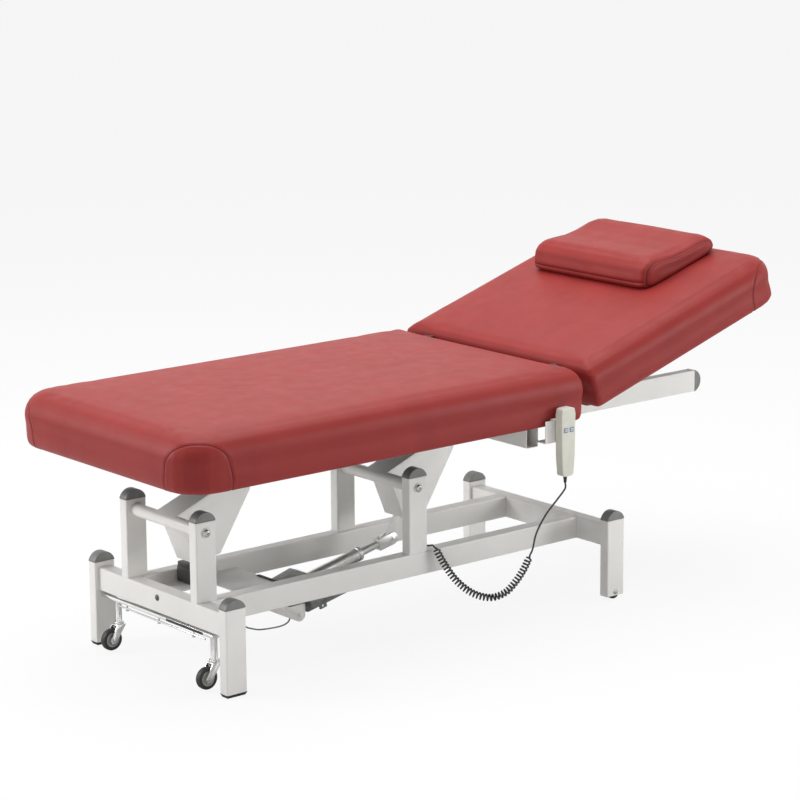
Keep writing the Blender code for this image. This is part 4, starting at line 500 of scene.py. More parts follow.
def settle(shape: bmesh.types.BMesh, name: str, place: Matrix | None = None, sharp: float = 35) -> Piece:
    """Turn a bmesh into an object at the origin, with its place in its mesh.

    Args:
        shape: The finished bmesh, which is freed.
        name: Name of the piece.
        place: Where the shape goes, if it was made about zero.
        sharp: Angle in degrees over which an edge stays sharp.

    Returns:
        The new object, linked to the scene.
    """
    if place is not None:
        bmesh.ops.transform(shape, matrix=place, verts=shape.verts)
    bmesh.ops.remove_doubles(shape, verts=shape.verts, dist=MERGE)
    bmesh.ops.recalc_face_normals(shape, faces=shape.faces)
    mesh = bpy.data.meshes.new(name)
    shape.to_mesh(mesh)
    shape.free()
    mesh.shade_smooth()
    mesh.set_sharp_from_angle(angle=math.radians(sharp))
    return link(name, mesh)


def dress(piece: Piece, finish: Finish, body: Body, slot: Slot, *nodes: str) -> Piece:
    """Give a piece its finish, its body and the CAD nodes it stands for."""
    piece.data.materials.clear()
    piece.data.materials.append(finish.material())
    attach(piece, body.value)
    if nodes:
        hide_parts(*nodes)
    return piece


def facing(axis: str, centre: Point | Vector) -> Matrix:
    """Matrix that turns local +Z to an axis, such as -Y, and moves zero to a centre."""
    way = Vector((0, 0, 0))
    way["XYZ".index(axis[-1])] = -1 if axis.startswith("-") else 1
    turn = Vector((0, 0, 1)).rotation_difference(way).to_matrix().to_4x4()
    return Matrix.Translation(Vector(centre)) @ turn


def lathe(name: str, profile: Profile, place: Matrix, steps: int = 40, closed: bool = False) -> Piece:
    """Spin a profile of (radius, height) pairs about local Z.

    Args:
        name: Name of the piece.
        profile: Points of the profile.
        place: Where the spun shape goes.
        steps: Steps of the spin.
        closed: True where the profile is a loop, as in a ring.

    Returns:
        The new object.
    """
    shape = bmesh.new()
    points = [shape.verts.new((radius, 0, height)) for radius, height in profile]
    for first, second in zip(points, points[1:]):
        shape.edges.new((first, second))
    if closed:
        shape.edges.new((points[-1], points[0]))
    bmesh.ops.spin(shape, geom=shape.verts[:] + shape.edges[:], axis=(0, 0, 1), cent=(0, 0, 0),
                   angle=math.tau, steps=steps, use_merge=True, use_duplicate=False)
    return settle(shape, name, place)


def mirrored(upper: Profile, *middle: tuple[float, float]) -> list[tuple[float, float]]:
    """A profile's upper half and middle, followed by the upper half turned down."""
    return [*upper, *middle, *((radius, -height) for radius, height in reversed(upper))]


def soft_block(name: str, low: Sequence[float], high: Sequence[float], radius: float) -> Piece:
    """A box between two corners with rounded edges."""
    low, high = Vector(low), Vector(high)
    shape = bmesh.new()
    bmesh.ops.create_cube(shape, size=1, matrix=Matrix.Translation((low + high) / 2)
                          @ Matrix.Diagonal((*(high - low), 1)))
    round_off(shape, shape.edges, radius, 3)
    return settle(shape, name)


def round_off(shape: bmesh.types.BMesh, items: Iterable[bmesh.types.BMEdge | bmesh.types.BMVert], radius: float,
              segments: int, affect: str = "EDGES") -> None:
    """Bevel edges, or the corners of a flat face, to a round of that radius."""
    bmesh.ops.bevel(shape, geom=list(items), offset=radius, offset_type="OFFSET", segments=segments,
                    profile=0.5, affect=affect, clamp_overlap=True, material=-1)


def slab(name: str, outline: Profile, thickness: float, place: Matrix, radius: float = 0,
         segments: int = 2, corner: float = 0) -> Piece:
    """Extrude a flat outline in local XY to a plate centred on local zero.

    Args:
        name: Name of the piece.
        outline: Corners of the outline.
        thickness: Thickness along local Z.
        place: Where the plate goes.
        radius: Round of the plate's rim edges.
        segments: Segments of that round.
        corner: Round of the outline's own corners.

    Returns:
        The new object.
    """
    shape = bmesh.new()
    face = shape.faces.new([shape.verts.new((x, y, -thickness / 2)) for x, y in outline])
    if corner:
        round_off(shape, shape.verts, corner, 4, "VERTICES")
        face = shape.faces[:][0]
    grown = bmesh.ops.extrude_face_region(shape, geom=[face])
    moved = [item for item in grown["geom"] if isinstance(item, bmesh.types.BMVert)]
    bmesh.ops.translate(shape, verts=moved, vec=(0, 0, thickness))
    bmesh.ops.recalc_face_normals(shape, faces=shape.faces)
    if radius:
        rims = [edge for edge in shape.edges if abs(edge.verts[0].co.z - edge.verts[1].co.z) < 1e-7]
        round_off(shape, rims, radius, segments)
    return settle(shape, name, place)


def arc(centre: tuple[float, float], radius: float, start: float, end: float,
        steps: int) -> list[tuple[float, float]]:
    """Points of an arc, angles in degrees."""
    turns = [math.radians(start + (end - start) * step / steps) for step in range(steps + 1)]
    return [(centre[0] + radius * math.cos(turn), centre[1] + radius * math.sin(turn)) for turn in turns]


def eased_copy(node: str, radius: float, segments: int = 2, least: float = 25) -> Piece:
    """Copy of a CAD node with its hard edges rounded.

    Args:
        node: Name of the CAD node.
        radius: Round of the edges.
        segments: Segments of the round.
        least: Angle in degrees over which an edge counts as hard.

    Returns:
        The new object, named for the node.
    """
    shape = bmesh.new()
    shape.from_mesh(bpy.data.objects[node].data)
    bmesh.ops.remove_doubles(shape, verts=shape.verts, dist=CAD_MERGE)
    bmesh.ops.dissolve_limit(shape, angle_limit=math.radians(FLAT), verts=shape.verts, edges=shape.edges)
    hard = [edge for edge in shape.edges if edge.is_manifold and edge.calc_face_angle(0) > math.radians(least)]
    round_off(shape, hard, radius, segments)
    return settle(shape, node + "_eased", None, 40)


def wire(name: str, line: Sequence[Vector], radius: float, resolution: int,
         shares: Sequence[float] = (1.0,)) -> Piece:
    """Round rod along a line, as a curve of one open spline.

    Args:
        name: Name of the piece.
        line: Points of the centreline.
        radius: Radius of the rod.
        resolution: Bevel resolution of its round.
        shares: Shares of the radius that the points take in turn.

    Returns:
        The new object.
    """
    curve = bpy.data.curves.new(name, "CURVE")
    curve.dimensions = "3D"
    curve.bevel_depth = radius
    curve.bevel_resolution = resolution
    curve.use_fill_caps = True
    spline = curve.splines.new("POLY")
    spline.points.add(len(line) - 1)
    for index, (target, point) in enumerate(zip(spline.points, line)):
        target.co = (*point, 1)
        target.radius = shares[index % len(shares)]
    return link(name, curve)


def keep(finish: Finish, *nodes: str) -> None:
    """Give CAD nodes that stay their finish."""
    for node in nodes:
        piece = bpy.data.objects[node]
        piece.data.materials.clear()
        piece.data.materials.append(finish.material())


def eased(node: str, radius: float, finish: Finish, body: Body, slot: Slot, segments: int = 2) -> None:
    """Put a dressed copy with rounded edges in a CAD node's stead."""
    dress(eased_copy(node, radius, segments), finish, body, slot, node)


@dataclass
class Route:
    """A smooth line through given points, as the CAD cords follow."""

    points: Sequence[Vector]
    steps: int = 40

    def read(self, spacing: float) -> list[Vector]:
        """Points at an even spacing along the line.

        Args:
            spacing: Distance between the points, in metres.

        Returns:
            The points, both ends included.
        """
        nodes = [Vector(point) for point in self.points]
        nodes = [nodes[0] * 2 - nodes[1], *nodes, nodes[-1] * 2 - nodes[-2]]
        fine: list[Vector] = []
        for before, start, end, after in zip(nodes, nodes[1:], nodes[2:], nodes[3:]):
            for step in range(self.steps):
                t = step / self.steps
                fine.append(0.5 * (2 * start + (end - before) * t
                                   + (2 * before - 5 * start + 4 * end - after) * t ** 2
                                   + (3 * start - before - 3 * end + after) * t ** 3))
        fine.append(nodes[-2])
        walked = np.cumsum([0.0] + [(second - first).length for first, second in zip(fine, fine[1:])])
        count = max(2, round(walked[-1] / spacing))
        goals = np.linspace(0, walked[-1], count + 1)
        axes = [np.interp(goals, walked, [point[axis] for point in fine]) for axis in range(3)]
        return [Vector(values) for values in zip(*axes)]


@dataclass
class Studio:
    """Camera at the photograph's place, soft lamps, pale floor."""

    camera_place: Point = (-4.62337, -5.53965, 2.1860)
    target: Point = (0.31233, 0.45975, 0.4403)
    roll: float = -0.3965
    lens: float = 127.79
    sky: float = 0.29
    lamps: Sequence[tuple[str, Point, Point, float, float]] = (     # name, place, aim, size, power
        ("top_panel", (0.0, 0.3, 4.2), (0, 0, 0.4), 4.2, 180),
        ("key_panel", (-4.1, 2.6, 2.4), (-0.2, 0, 0.4), 2.2, 118),
        ("fill_panel", (3.8, -4.0, 1.4), (0, 0, 0.4), 2.2, 112))
    floor_half: float = 30
    floor_drop: float = 0.0005
    floor_glow: float = 0.88

    def build(self) -> None:
        """Make the camera, the lamps and the floor."""
        self.camera()
        bpy.context.scene.view_settings.view_transform = "Standard"
        self.world()
        for lamp in self.lamps:
            self.lamp(*lamp)
        self.floor()

    def camera(self) -> None:
        """Put the camera where the fit of the photograph has it."""
        place, target = Vector(self.camera_place), Vector(self.target)
        out = (place - target).normalized()
        right = (-out).cross(Vector((0, 0, 1))).normalized()
        up = right.cross(-out)
        turn = math.radians(self.roll)
        across = right * math.cos(turn) + up * math.sin(turn)
        upward = up * math.cos(turn) - right * math.sin(turn)
        data = bpy.data.cameras.new("photo_view")
        data.lens = self.lens
        data.sensor_width = 36
        data.clip_start, data.clip_end = 0.1, 100
        camera = link("photo_view", data)
        camera.matrix_world = Matrix.Translation(place) @ Matrix((across, upward, out)).transposed().to_4x4()
        bpy.context.scene.camera = camera

    def world(self) -> None:
        """Even sky, white where the camera or a glossy or clear surface sees it."""
        world = bpy.data.worlds.new("studio_sky")
        world.use_nodes = True
        tree = Tree(world.node_tree)
        path = tree.add("ShaderNodeLightPath").outputs
        seen = path["Is Camera Ray"]
        for ray in ("Is Glossy Ray", "Is Transmission Ray"):
            seen = tree.math("MAXIMUM", seen, path[ray])
        sky = world.node_tree.nodes["Background"].inputs
        tree.feed(sky["Strength"], tree.remap(seen, (0, 1), (self.sky, 1)))
        tree.feed(sky["Color"], (1, 1, 1))
        bpy.context.scene.world = world

    def lamp(self, name: str, place: Point, aim: Point, size: float, power: float) -> None:
        """One square panel lamp aimed at a point."""
        data = bpy.data.lights.new(name, "AREA")
        data.size = size
        data.energy = power
        lamp = link(name, data)
        lamp.location = place
        lamp.rotation_euler = (Vector(aim) - Vector(place)).to_track_quat("-Z", "Y").to_euler()

    def floor(self) -> None:
        """Pale floor that keeps a faint shadow."""
        shape = bmesh.new()
        bmesh.ops.create_grid(shape, x_segments=1, y_segments=1, size=self.floor_half)
        floor = settle(shape, "studio_floor", Matrix.Translation((0, 0, -self.floor_drop)))
        graph = Graph("pale_floor")
        seen = graph.add("ShaderNodeLightPath").outputs["Is Camera Ray"]
        glow = graph.add("ShaderNodeEmission", {"Strength": 1.0}).outputs[0]
        mix = graph.add("ShaderNodeMixShader", {0: graph.math("MULTIPLY", seen, self.floor_glow),
                                                1: graph.surface.outputs[0], 2: glow})
        graph.feed(graph.tree.nodes["Material Output"].inputs["Surface"], mix.outputs[0])
        speckle = graph.blend(graph.mottle(3, 3, 0.3, 0.7), (0.86, 0.86, 0.86), (0.84, 0.84, 0.84))
        floor.data.materials.append(graph.dress(speckle, 0.9))


@dataclass
class Cords:
    """Curly cord of the hand switch, its straight lead, and the actuator's cable.

    The routes are given from the base's foot end and the table's middle plane.
    """

    radius: float = 0.0024
    curl_radius: float = 0.0078
    curls: int = 40
    curl_points: int = 16
    cable_radius: float = 0.002
    spacing: float = 0.005
    tail_spacing: float = 0.006
    straight_end: float = 0.016
    exit_point: Point = (0.16293, -0.38275, 0.3894)
    curl_route: Sequence[Point] = (
        (0.752, -0.176, 0.214), (0.772, -0.190, 0.168), (0.796, -0.210, 0.124), (0.828, -0.236, 0.091),
        (0.865, -0.262, 0.078), (0.895, -0.286, 0.091), (0.916, -0.303, 0.120), (0.931, -0.319, 0.156),
        (0.940, -0.330, 0.190))
    tail_route: Sequence[Point] = (
        (0.7485, -0.170, 0.2205), (0.7460, -0.151, 0.2155), (0.7450, -0.131, 0.2125),
        (0.7425, -0.110, 0.2065), (0.735, -0.098, 0.197), (0.724, -0.0915, 0.187), (0.712, -0.0915, 0.179),
        (0.7035, -0.0985, 0.1745), (0.701, -0.1087, 0.1733), (0.701, -0.1227, 0.1733))
    lead_route: Sequence[Point] = ((0.953, -0.342, 0.252), (0.967, -0.362, 0.302), (0.984, -0.387, 0.345))
    cable_route: Sequence[Point] = (
        (0.4178638, 0.006, 0.0491), (0.4143, 0.006, 0.0421),
        (0.402, 0.005, 0.037), (0.382, 0.003, 0.0355), (0.356, 0.000, 0.0374), (0.330, -0.005, 0.041),
        (0.306, -0.010, 0.0457), (0.285, -0.013, 0.053), (0.266, -0.016, 0.061), (0.2506, -0.019, 0.0735),
        (0.239, -0.020, 0.092), (0.232, -0.020, 0.115), (0.230, -0.020, 0.145), (0.230, -0.020, 0.1727))

    def build(self) -> None:
        curls = self.curly()
        self.cord("curly_cord", curls, self.radius, Body.BASE, "cord_curls", Finish.CORD)
        ahead = (curls[-1] - curls[-2]).normalized()
        exit_point = Vector(self.exit_point)
        lead = [curls[-1] + ahead * GAP, curls[-1] + ahead * self.straight_end, *self.placed(self.lead_route),
                exit_point - Vector((0, 0, self.straight_end)), exit_point]
        line = Route(lead).read(self.spacing)
        self.cord("switch_lead", line[::-1], self.radius, Body.TOP_FRAME, "cord_lead", Finish.CORD)
        line = Route(self.placed(self.cable_route)).read(self.spacing)
        self.cord("motor_cable", line, self.cable_radius, Body.BASE, "actuator_cable", Finish.CABLE)

    def cord(self, name: str, line: Sequence[Vector], radius: float, body: Body, node: str,
             finish: Finish) -> None:
        """One round cord.

        Args:
            name: Name of the piece.
            line: Centreline of the cord.
            radius: Radius of the cord.
            body: Body the cord rides on.
            node: CAD node it stands for.
            finish: Finish of its sheath.
        """
        piece = dress(wire(name, line, radius, 4), finish, body, Slot.CORD, node)

    def placed(self, points: Iterable[Point]) -> list[Vector]:
        """Points given from the foot end and the middle plane, in the model's frame."""
        return [Vector((x + FOOT_X, y + MIDDLE_Y, z)) for x, y, z in points]

    def curly(self) -> list[Vector]:
        """Centreline from the rail, over it and round the curls to their upper end."""
        route = Route(self.placed(self.curl_route)).read(self.radius)
        count = self.curls * self.curl_points
        side = Vector((0, 1, 0))
        line = []
        for index in range(count + 1):
            place = index / count * (len(route) - 1)
            lower = min(int(place), len(route) - 2)
            centre = route[lower].lerp(route[lower + 1], place - lower)
            ahead = (route[lower + 1] - route[lower]).normalized()
            side = (side - ahead * side.dot(ahead)).normalized()
            turn = math.tau * index / self.curl_points
            swing = side * math.cos(turn) + ahead.cross(side) * math.sin(turn)
            ramp = min(1, index / self.curl_points, (count - index) / self.curl_points)
            line.append(centre + swing * self.curl_radius * ramp)
        tail = Route(self.placed(self.tail_route)).read(self.tail_spacing)
        last = (route[-1] - route[-2]).normalized() * 2 * self.radius
        return [*tail[::-1], *line, line[-1] + last]


@dataclass(frozen=True)
class CornerPatch:
    """Arched patch sewn round a cushion's corner, with the seam's distances worked out on it."""

    top: float
    half_width: float = 0.0935
    shift: float = -0.0135
    plan_radius: float = 0.090
    power: float = 2.3
    lean: float = 0.8

    def seam(self, ends: np.ndarray, sides: np.ndarray, height: np.ndarray) -> SeamMap:
        """Arched seam of the patch.

        Args:
            ends: Distances from the end face.
            sides: Distances from the side face.
            height: Heights over the cushion's lower edge.

        Returns:
            Signed distance to the seam, and the way along it.
        """
        radius = self.plan_radius
        past_end, past_side = np.maximum(radius - ends, 0), np.maximum(radius - sides, 0)
        quarter = radius * math.pi / 4
        along = np.where(ends > radius, -(quarter + ends - radius),
                         np.where(sides > radius, quarter + sides - radius,
                                  radius * np.arctan2(past_end, past_side) - quarter))
        inset = np.where((ends < radius) & (sides < radius), radius - np.hypot(past_end, past_side),
                         np.minimum(ends, sides))
        girth = height + self.lean * np.maximum(inset, 0)
        across = np.abs(along - self.shift) / self.half_width
        upward = np.maximum(girth, 0) / self.top
        level = across ** self.power + upward ** self.power
        slope = np.hypot(self.power * across ** (self.power - 1) / self.half_width,
                         self.power * upward ** (self.power - 1) / self.top)
        distance = (level - 1) / np.maximum(slope, 1e-6)
        run = np.arctan2(upward, (along - self.shift) / self.half_width) * (self.half_width + self.top) / 2
        return distance, run


@dataclass
class Cushion:
    """One upholstered piece, grown from its CAD solid by a cloth simulation."""

    node: str
    body: Body
    origin: Vector
    tilt: float
    pinned_height: float
    voxel: float = 0.0065
    shrink: float = 0.0004
    cap: float = 0.004
    hem_drop: float = 0.0085
    hem_reach: float = 0.055
    belly_ends: float = 0.0
    belly_sides: float = 0.002
    belly_height: float = 0.105
    slack: float = 0.0006
    evening: int = 5
    pressure: float = 4.0
    stretch_stiffness: float = 40
    bend_stiffness: float = 4
    cover_mass: float = 0.3
    frames: int = 20
    fill: float = 0.9
    valley: tuple[float, float] = (0.0012, 0.0034)          # depth and width of the drawn-in seam
    ridge: tuple[float, float, float] = (0.0005, 0.004, 0.0065)     # height, width and place beside it

    def build(self, seams: Callable[[np.ndarray], SeamMap]) -> None:
        """Make the cushion.

        Args:
            seams: Gives the distance to the nearest seam and the way along it for local points.
        """
        cushion = self.start()
        rest, normals = self.points(cushion), self.points(cushion, "normal")
        self.swell(cushion)
        outward = ((self.points(cushion) - rest) * normals).sum(axis=1)
        outward = self.evened(cushion, np.clip(outward, -self.slack, self.cap))
        self.move(cushion, rest + normals * outward[:, None])
        self.subdivide(cushion)
        self.sew(cushion, seams)
        cushion.data.shade_smooth()
        dress(cushion, Finish.LEATHER, self.body, Slot.UPHOLSTERY, self.node)
        LOG.info("%s made", cushion.name)

    def points(self, cushion: Piece, what: str = "co") -> np.ndarray:
        """Places of every point of the mesh, or their outward normals."""
        values = np.empty(len(cushion.data.vertices) * 3, np.float32)
        cushion.data.vertices.foreach_get(what, values)
        return values.reshape(-1, 3).astype(float)

    def move(self, cushion: Piece, places: np.ndarray) -> None:
        """Put every point of the mesh at its new place."""
        cushion.data.vertices.foreach_set("co", places.astype(np.float32).ravel())
        cushion.data.update()

    def evened(self, cushion: Piece, values: np.ndarray) -> np.ndarray:
        """Values of the points, averaged with their neighbours' a few times."""
        ends = np.empty(len(cushion.data.edges) * 2, np.int32)
        cushion.data.edges.foreach_get("vertices", ends)
        first, second = ends.reshape(-1, 2).T
        count = np.bincount(ends, minlength=len(values))
        for _ in range(self.evening):
            total = (np.bincount(first, weights=values[second], minlength=len(values))
                     + np.bincount(second, weights=values[first], minlength=len(values)))
            values = (values + total / np.maximum(count, 1)) / 2
        return values

    def local(self, places: np.ndarray) -> np.ndarray:
        """Points of the model in the cushion's own tilted frame."""
        turn = math.radians(self.tilt)
        moved = places - np.array(self.origin)
        return np.column_stack((moved[:, 0] * math.cos(turn) + moved[:, 2] * math.sin(turn), moved[:, 1],
                                moved[:, 2] * math.cos(turn) - moved[:, 0] * math.sin(turn)))

    def start(self) -> Piece:
        """Slightly smaller copy of the CAD solid, meshed evenly along the cushion's own axes."""
        shape = bmesh.new()
        shape.from_mesh(bpy.data.objects[self.node].data)
        bmesh.ops.remove_doubles(shape, verts=shape.verts, dist=CAD_MERGE)
        shape.normal_update()
        moves = [vertex.normal * self.shrink for vertex in shape.verts]
        for vertex, move in zip(shape.verts, moves):
            vertex.co -= move
        place = Matrix.Translation(self.origin) @ Matrix.Rotation(-math.radians(self.tilt), 4, "Y")
        piece = settle(shape, self.node.replace("_cushion", "") + "_upholstery", place.inverted())
        remesh = piece.modifiers.new("even_mesh", "REMESH")
        remesh.mode = "VOXEL"
        remesh.voxel_size = self.voxel
        smooth = piece.modifiers.new("ease", "SMOOTH")
        smooth.iterations = 1
        smooth.factor = 0.5
        self.apply(piece)
        self.lower(piece)
        piece.data.transform(place)
        return piece

    def lower(self, piece: Piece) -> None:
        """Draw the cover's hem down under its board and fill its sides out, in its own frame."""
        places, normals = self.points(piece), self.points(piece, "normal")
        rise = places[:, 2] - places[:, 2].min()
        belly = np.sin(math.pi * np.clip(rise / self.belly_height, 0, 1))
        places[:, 0] += normals[:, 0] * belly * self.belly_ends
        places[:, 1] += normals[:, 1] * belly * self.belly_sides
        share = np.clip(1 - rise / self.hem_reach, 0, 1)
        places[:, 2] -= self.hem_drop * share * share * (3 - 2 * share)
        self.move(piece, places)

    def apply(self, piece: Piece) -> None:
        """Turn the piece's modifiers into its mesh."""
        made = bpy.data.meshes.new_from_object(piece.evaluated_get(bpy.context.evaluated_depsgraph_get()))
        piece.modifiers.clear()
        old = piece.data
        piece.data = made
        bpy.data.meshes.remove(old)

    def swell(self, piece: Piece) -> None:
        """Blow the cover up from inside, held where it meets its board."""
        heights = self.local(self.points(piece))[:, 2]
        held = piece.vertex_groups.new(name="held")
        held.add([int(index) for index in np.nonzero(heights < self.pinned_height)[0]], 1.0, "REPLACE")
        cloth = piece.modifiers.new("cover", "CLOTH")
        settings = cloth.settings
        settings.quality = 4
        settings.mass = self.cover_mass
        settings.tension_stiffness = settings.compression_stiffness = self.stretch_stiffness
        settings.bending_stiffness = self.bend_stiffness
        settings.use_pressure = True
        settings.uniform_pressure_force = self.pressure
        settings.vertex_group_mass = "held"
        settings.effector_weights.gravity = 0
        cloth.point_cache.frame_start = 1
        cloth.point_cache.frame_end = self.frames
        for frame in range(1, self.frames + 1):
            bpy.context.scene.frame_set(frame)
        self.apply(piece)
        bpy.context.scene.frame_set(1)

    def subdivide(self, piece: Piece) -> None:
        """One subdivision, applied."""
        step = piece.modifiers.new("finer", "SUBSURF")
        step.levels = step.render_levels = 1
        self.apply(piece)

    def sew(self, piece: Piece, seams: Callable[[np.ndarray], SeamMap]) -> None:
        """Keep the seam's distances on the points, and draw the cover in along it."""
        places, normals = self.points(piece), self.points(piece, "normal")
        distance, run = seams(self.local(places))
        depth, width = self.valley
        valley = depth * np.exp(-(distance / width) ** 2)
        height, width, beside = self.ridge
        ridge = height * np.exp(-((np.abs(distance) - beside) / width) ** 2)
        self.move(piece, places + normals * (ridge - valley)[:, None])
        for name, values in (("seam", np.clip(distance, -0.05, 0.05)), ("run", run)):
            kept = piece.data.attributes.new(name, "FLOAT", "POINT")
            kept.data.foreach_set("value", values.astype(np.float32))
        piece.data.update()


@dataclass
class Upholstery:
    """Seat, back and pillow, with the boards under them."""

    width: float = 0.758
    seat_foot: float = -0.9905715
    seat_low: float = 0.5422
    back_length: float = 0.740
    back_low: float = -0.100
    board_height: float = 0.014
    seat_patch: CornerPatch = CornerPatch(0.124)
    back_patch: CornerPatch = CornerPatch(0.112)
    pillow_start: float = 0.400
    pillow_low_y: float = -0.200
    pillow_length: float = 0.297
    pillow_width: float = 0.455
    pillow_base: float = 0.020
    pillow_end_seam: float = 0.006
    pillow_foot_seam: float = 0.024
    board_share: float = 0.972
    board_round: float = 0.0015

    def build(self) -> None:
        """Make the soft pieces and dress the boards."""
        hinge = Vector(BACK_HINGE)
        Cushion("seat_cushion", Body.TOP_FRAME, Vector((self.seat_foot, MIDDLE_Y, self.seat_low)), 0,
                self.board_height, belly_ends=0.0075).build(self.seat_seams)
        Cushion("back_cushion", Body.BACK, hinge, BACK_TILT,
                self.back_low + self.board_height).build(self.back_seams)
        Cushion("pillow", Body.PILLOW, hinge, BACK_TILT, self.pillow_base + 0.004, voxel=0.005,
                hem_drop=0.0, belly_sides=0.0).build(self.pillow_seams)
        self.board("seat_board", Body.TOP_FRAME)
        self.board("back_board", Body.BACK)

    def board(self, node: str, body: Body) -> None:
        """Board with eased edges, kept just inside its cover's hem."""
        piece = eased_copy(node, self.board_round)
        low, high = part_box(node)
        middle = Matrix.Translation((low + high) / 2)
        piece.data.transform(middle @ Matrix.Scale(self.board_share, 4) @ middle.inverted())
        dress(piece, Finish.BOARD, body, Slot.PLYWOOD, node)

    def seat_seams(self, local: np.ndarray) -> SeamMap:
        """Arched corner patches of the seat's foot end."""
        sides = self.width / 2 - np.abs(local[:, 1])
        return self.seat_patch.seam(local[:, 0], sides, local[:, 2])

    def back_seams(self, local: np.ndarray) -> SeamMap:
        """Arched corner patches of the back's head end."""
        sides = self.width / 2 - np.abs(local[:, 1])
        return self.back_patch.seam(self.back_length - local[:, 0], sides, local[:, 2] - self.back_low)

    def pillow_seams(self, local: np.ndarray) -> SeamMap:
        """Panel seams round the pillow's ends and along its lower third."""
        along = local[:, 0] - self.pillow_start
        across = local[:, 1] - self.pillow_low_y
        height = local[:, 2] - self.pillow_base
        end = np.minimum(across, self.pillow_width - across) - self.pillow_end_seam
        on_foot = (along < self.pillow_length / 2) & (end >= 0.004)
        low = np.where(on_foot, height - self.pillow_foot_seam, 1.0)
        nearer = np.abs(end) < np.abs(low)
        return np.where(nearer, end, low), np.where(nearer, along + height, across)


@dataclass
class EndCaps:
    """Domed plastic caps on the legs, uprights and top rails."""

    deep: float = 0.060
    thin: float = 0.030
    rise: float = 0.024
    lip: float = 0.0022
    edge: float = 0.0016
    steps: int = 24

    def build(self) -> None:
        """Make all ten caps."""
        for side in Side:
            for place in ("leg_cap_foot", "leg_cap_head", "upright_cap_foot", "upright_cap_mid"):
                self.cap(f"{place}_{side.word}", Body.BASE, "Z")
            self.cap(f"top_rail_cap_{side.word}", Body.TOP_FRAME, "X")

    def cap(self, node: str, body: Body, way: str) -> None:
        """One cap over its CAD node: straight lip, domed top, eased edges."""
        low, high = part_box(node)
        half = self.deep / 2
        radius = (half ** 2 + (self.rise - self.lip) ** 2) / (2 * (self.rise - self.lip))
        swing = math.degrees(math.asin(half / radius))
        dome = arc((0, self.rise - radius), radius, 90 - swing, 90 + swing, self.steps)
        outline = [(half, 0), *dome, (-half, 0)]
        middle = (low + high) / 2
        if way == "Z":
            base = Vector((middle.x, middle.y, high.z - self.rise))
            place = Matrix.Translation(base) @ Matrix.Rotation(math.radians(90), 4, "X")
        else:
            base = Vector((high.x - self.rise, middle.y, middle.z))
            turned = Matrix(((0, 1, 0), (0, 0, 1), (1, 0, 0))).to_4x4()
            place = Matrix.Translation(base) @ turned
        piece = slab(node + "_dome", outline, self.thin, place, self.edge, 3)
        dress(piece, Finish.CAP, body, Slot.CAP, node)


@dataclass
class Fastener:
    """Screws and bolt heads, made at local zero looking along +Z."""

    domed: Profile = (      # shares of the head's radius
        (0, 0.27), (0.36, 0.27), (0.40, 0.62), (0.62, 0.589), (0.86, 0.4216), (1, 0.222), (1, 0.16), (1.28, 0.16),
        (1.30, 0.08), (1.28, 0), (0, 0))

    def button(self, name: str, place: Matrix, radius: float, body: Body, finish: Finish = Finish.ZINC) -> None:
        """Domed head with a socket, standing on a washer."""
        head = [(radius * across, radius * up) for across, up in self.domed]
        dress(lathe(name, head, place, 32), finish, body, Slot.ZINC)

    def hexagon(self, name: str, place: Matrix, radius: float, tall: float, body: Body) -> None:
        """Hexagon head or nut with eased corners."""
        corners = arc((0, 0), radius, 0, 360, 6)[:-1]
        piece = slab(name, corners, tall, place @ Matrix.Translation((0, 0, tall / 2)), tall * 0.12, 2)
        dress(piece, Finish.ZINC, body, Slot.ZINC)


@dataclass
class Weld:
    """Rippled weld beads under the coating."""

    radius: float = 0.0017
    pitch: float = 0.0021
    ripple: float = 0.78

    def bead(self, name: str, corners: Sequence[Point], body: Body) -> None:
        """One bead through a row of corners.

        Args:
            name: Name of the piece.
            corners: Corners of the bead's line.
            body: Body the bead rides on.
        """
        line = []
        for start, end in zip(map(Vector, corners), map(Vector, corners[1:])):
            count = max(2, round((end - start).length / self.pitch))
            line += [start.lerp(end, step / count) for step in range(count)]
        line.append(Vector(corners[-1]))
        dress(wire(name, line, self.radius, 2, (self.ripple, 1.0)), Finish.WELD, body, Slot.COAT)


